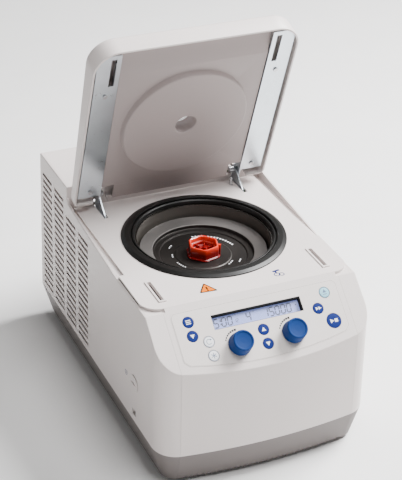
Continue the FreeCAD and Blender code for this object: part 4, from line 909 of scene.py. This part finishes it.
def deckMarks():
    x, y = deckMark["warning"]
    lean = Matrix.Rotation(math.radians(deckMark["lean"]), 4, "Z")
    place = Matrix.Translation((x, y, deckMark["deckZ"])) @ lean
    outer, yellow = arrow(0, 0, deckMark["triangle"], 90), arrow(0, 0, deckMark["yellow"], 90)
    field = makeMesh("field", prism(roundOff(outer, 1.3, 4), -0.1, 0.12), place)
    inner = makeMesh("inner", prism(roundOff(yellow, 0.8, 4), -0.1, 0.18), place)
    sign = printed("sign", [bar(0, 1.4, 1.9, 6.2), circle(0, -3.6, 1.2, 16)], -0.1, 0.24, place)
    addPiece("warningMark", field, "blackInk", "housing",
             marks=[(inner, "yellowInk"), (sign, "blackInk")])
    x, y = deckMark["tube"]
    place = Matrix.Translation((x, y, deckMark["deckZ"])) @ Matrix.Scale(deckMark["tubeScale"], 4)
    shapes = hoop(-1.5, -2, 2.6, 0.8, steps=24) + hoop(2.6, -3, 2.2, 0.8, steps=24) \
        + [bar(0, 4, 7, 2.2, 8), bar(-1, 1.6, 1.6, 4.4)]
    addPiece("tubeMark", printed("tube", shapes, -0.1, 0.12, place), "navyInk", "housing")
    side = Matrix.Translation(deckMark["plug"]) @ Matrix.Rotation(math.radians(-90), 4, "Y")
    shapes = hoop(0, 0, 3.4, 0.6, 20, 340, 24) + [bar(0, 0, 3.4, 0.6, 45)]
    addPiece("plugMark", printed("plugMark", shapes, -0.4, 0.14, side), "navyInk", "housing")


deckMarks()
print("marks done")


# floor, lights and camera

def stageSet():
    # seamless pale table, far larger than the view
    part = loft([[(-6000, -6000, -2), (6000, -6000, -2), (6000, 6000, -2), (-6000, 6000, -2)],
                 [(-6000, -6000, 0), (6000, -6000, 0), (6000, 6000, 0), (-6000, 6000, 0)]])
    floor = bpy.data.objects.new("floor", makeMesh("floor", part))
    floor.data.materials.append(finishOf("floor"))
    bpy.context.collection.objects.link(floor)


softBoxes = {  # name: (place, size, watts)
    "key": ((1.5, 0.1, 1.9), 1.1, 190),
    "top": ((0.2, -0.7, 2.2), 0.9, 34),
    "left": ((-2.4, 0.2, 0.9), 1.4, 5),
    "front": ((0.6, -2.4, 1.0), 1.2, 2),
}


def lights():
    for name, (spot, size, watts) in softBoxes.items():
        lamp = bpy.data.lights.new(name, "AREA")
        lamp.size = size
        lamp.energy = watts
        holder = bpy.data.objects.new(name, lamp)
        holder.location = spot
        holder.rotation_euler = (Vector((0, 0, 0.2)) - Vector(spot)).to_track_quat("-Z", "Y").to_euler()
        bpy.context.collection.objects.link(holder)
    world = bpy.data.worlds.new("studio")
    world.use_nodes = True
    world.node_tree.nodes["Background"].inputs["Color"].default_value = (1, 1, 1, 1)
    world.node_tree.nodes["Background"].inputs["Strength"].default_value = 0.15
    bpy.context.scene.world = world


view = {"place": (-738.5, -1616.2, 1241.7), "aim": (101.35, 196.9, 102.66), "roll": 1.74, "lens": 117.12,
        "shift": (-0.0141, -0.0229)}


def camera():
    data = bpy.data.cameras.new("view")
    data.lens = view["lens"]
    data.shift_x, data.shift_y = view["shift"]
    back = (Vector(view["place"]) - Vector(view["aim"])).normalized()
    right = (-back).cross(Vector((0, 0, 1))).normalized()
    up = back.cross(right)
    roll = math.radians(view["roll"])
    leanRight = right * math.cos(roll) + up * math.sin(roll)
    leanUp = up * math.cos(roll) - right * math.sin(roll)
    holder = bpy.data.objects.new("view", data)
    holder.matrix_world = Matrix.Translation(Vector(view["place"]) * mm) \
        @ Matrix((leanRight, leanUp, back)).transposed().to_4x4()
    bpy.context.collection.objects.link(holder)
    bpy.context.scene.camera = holder


stageSet()
lights()
camera()
print("stage done")
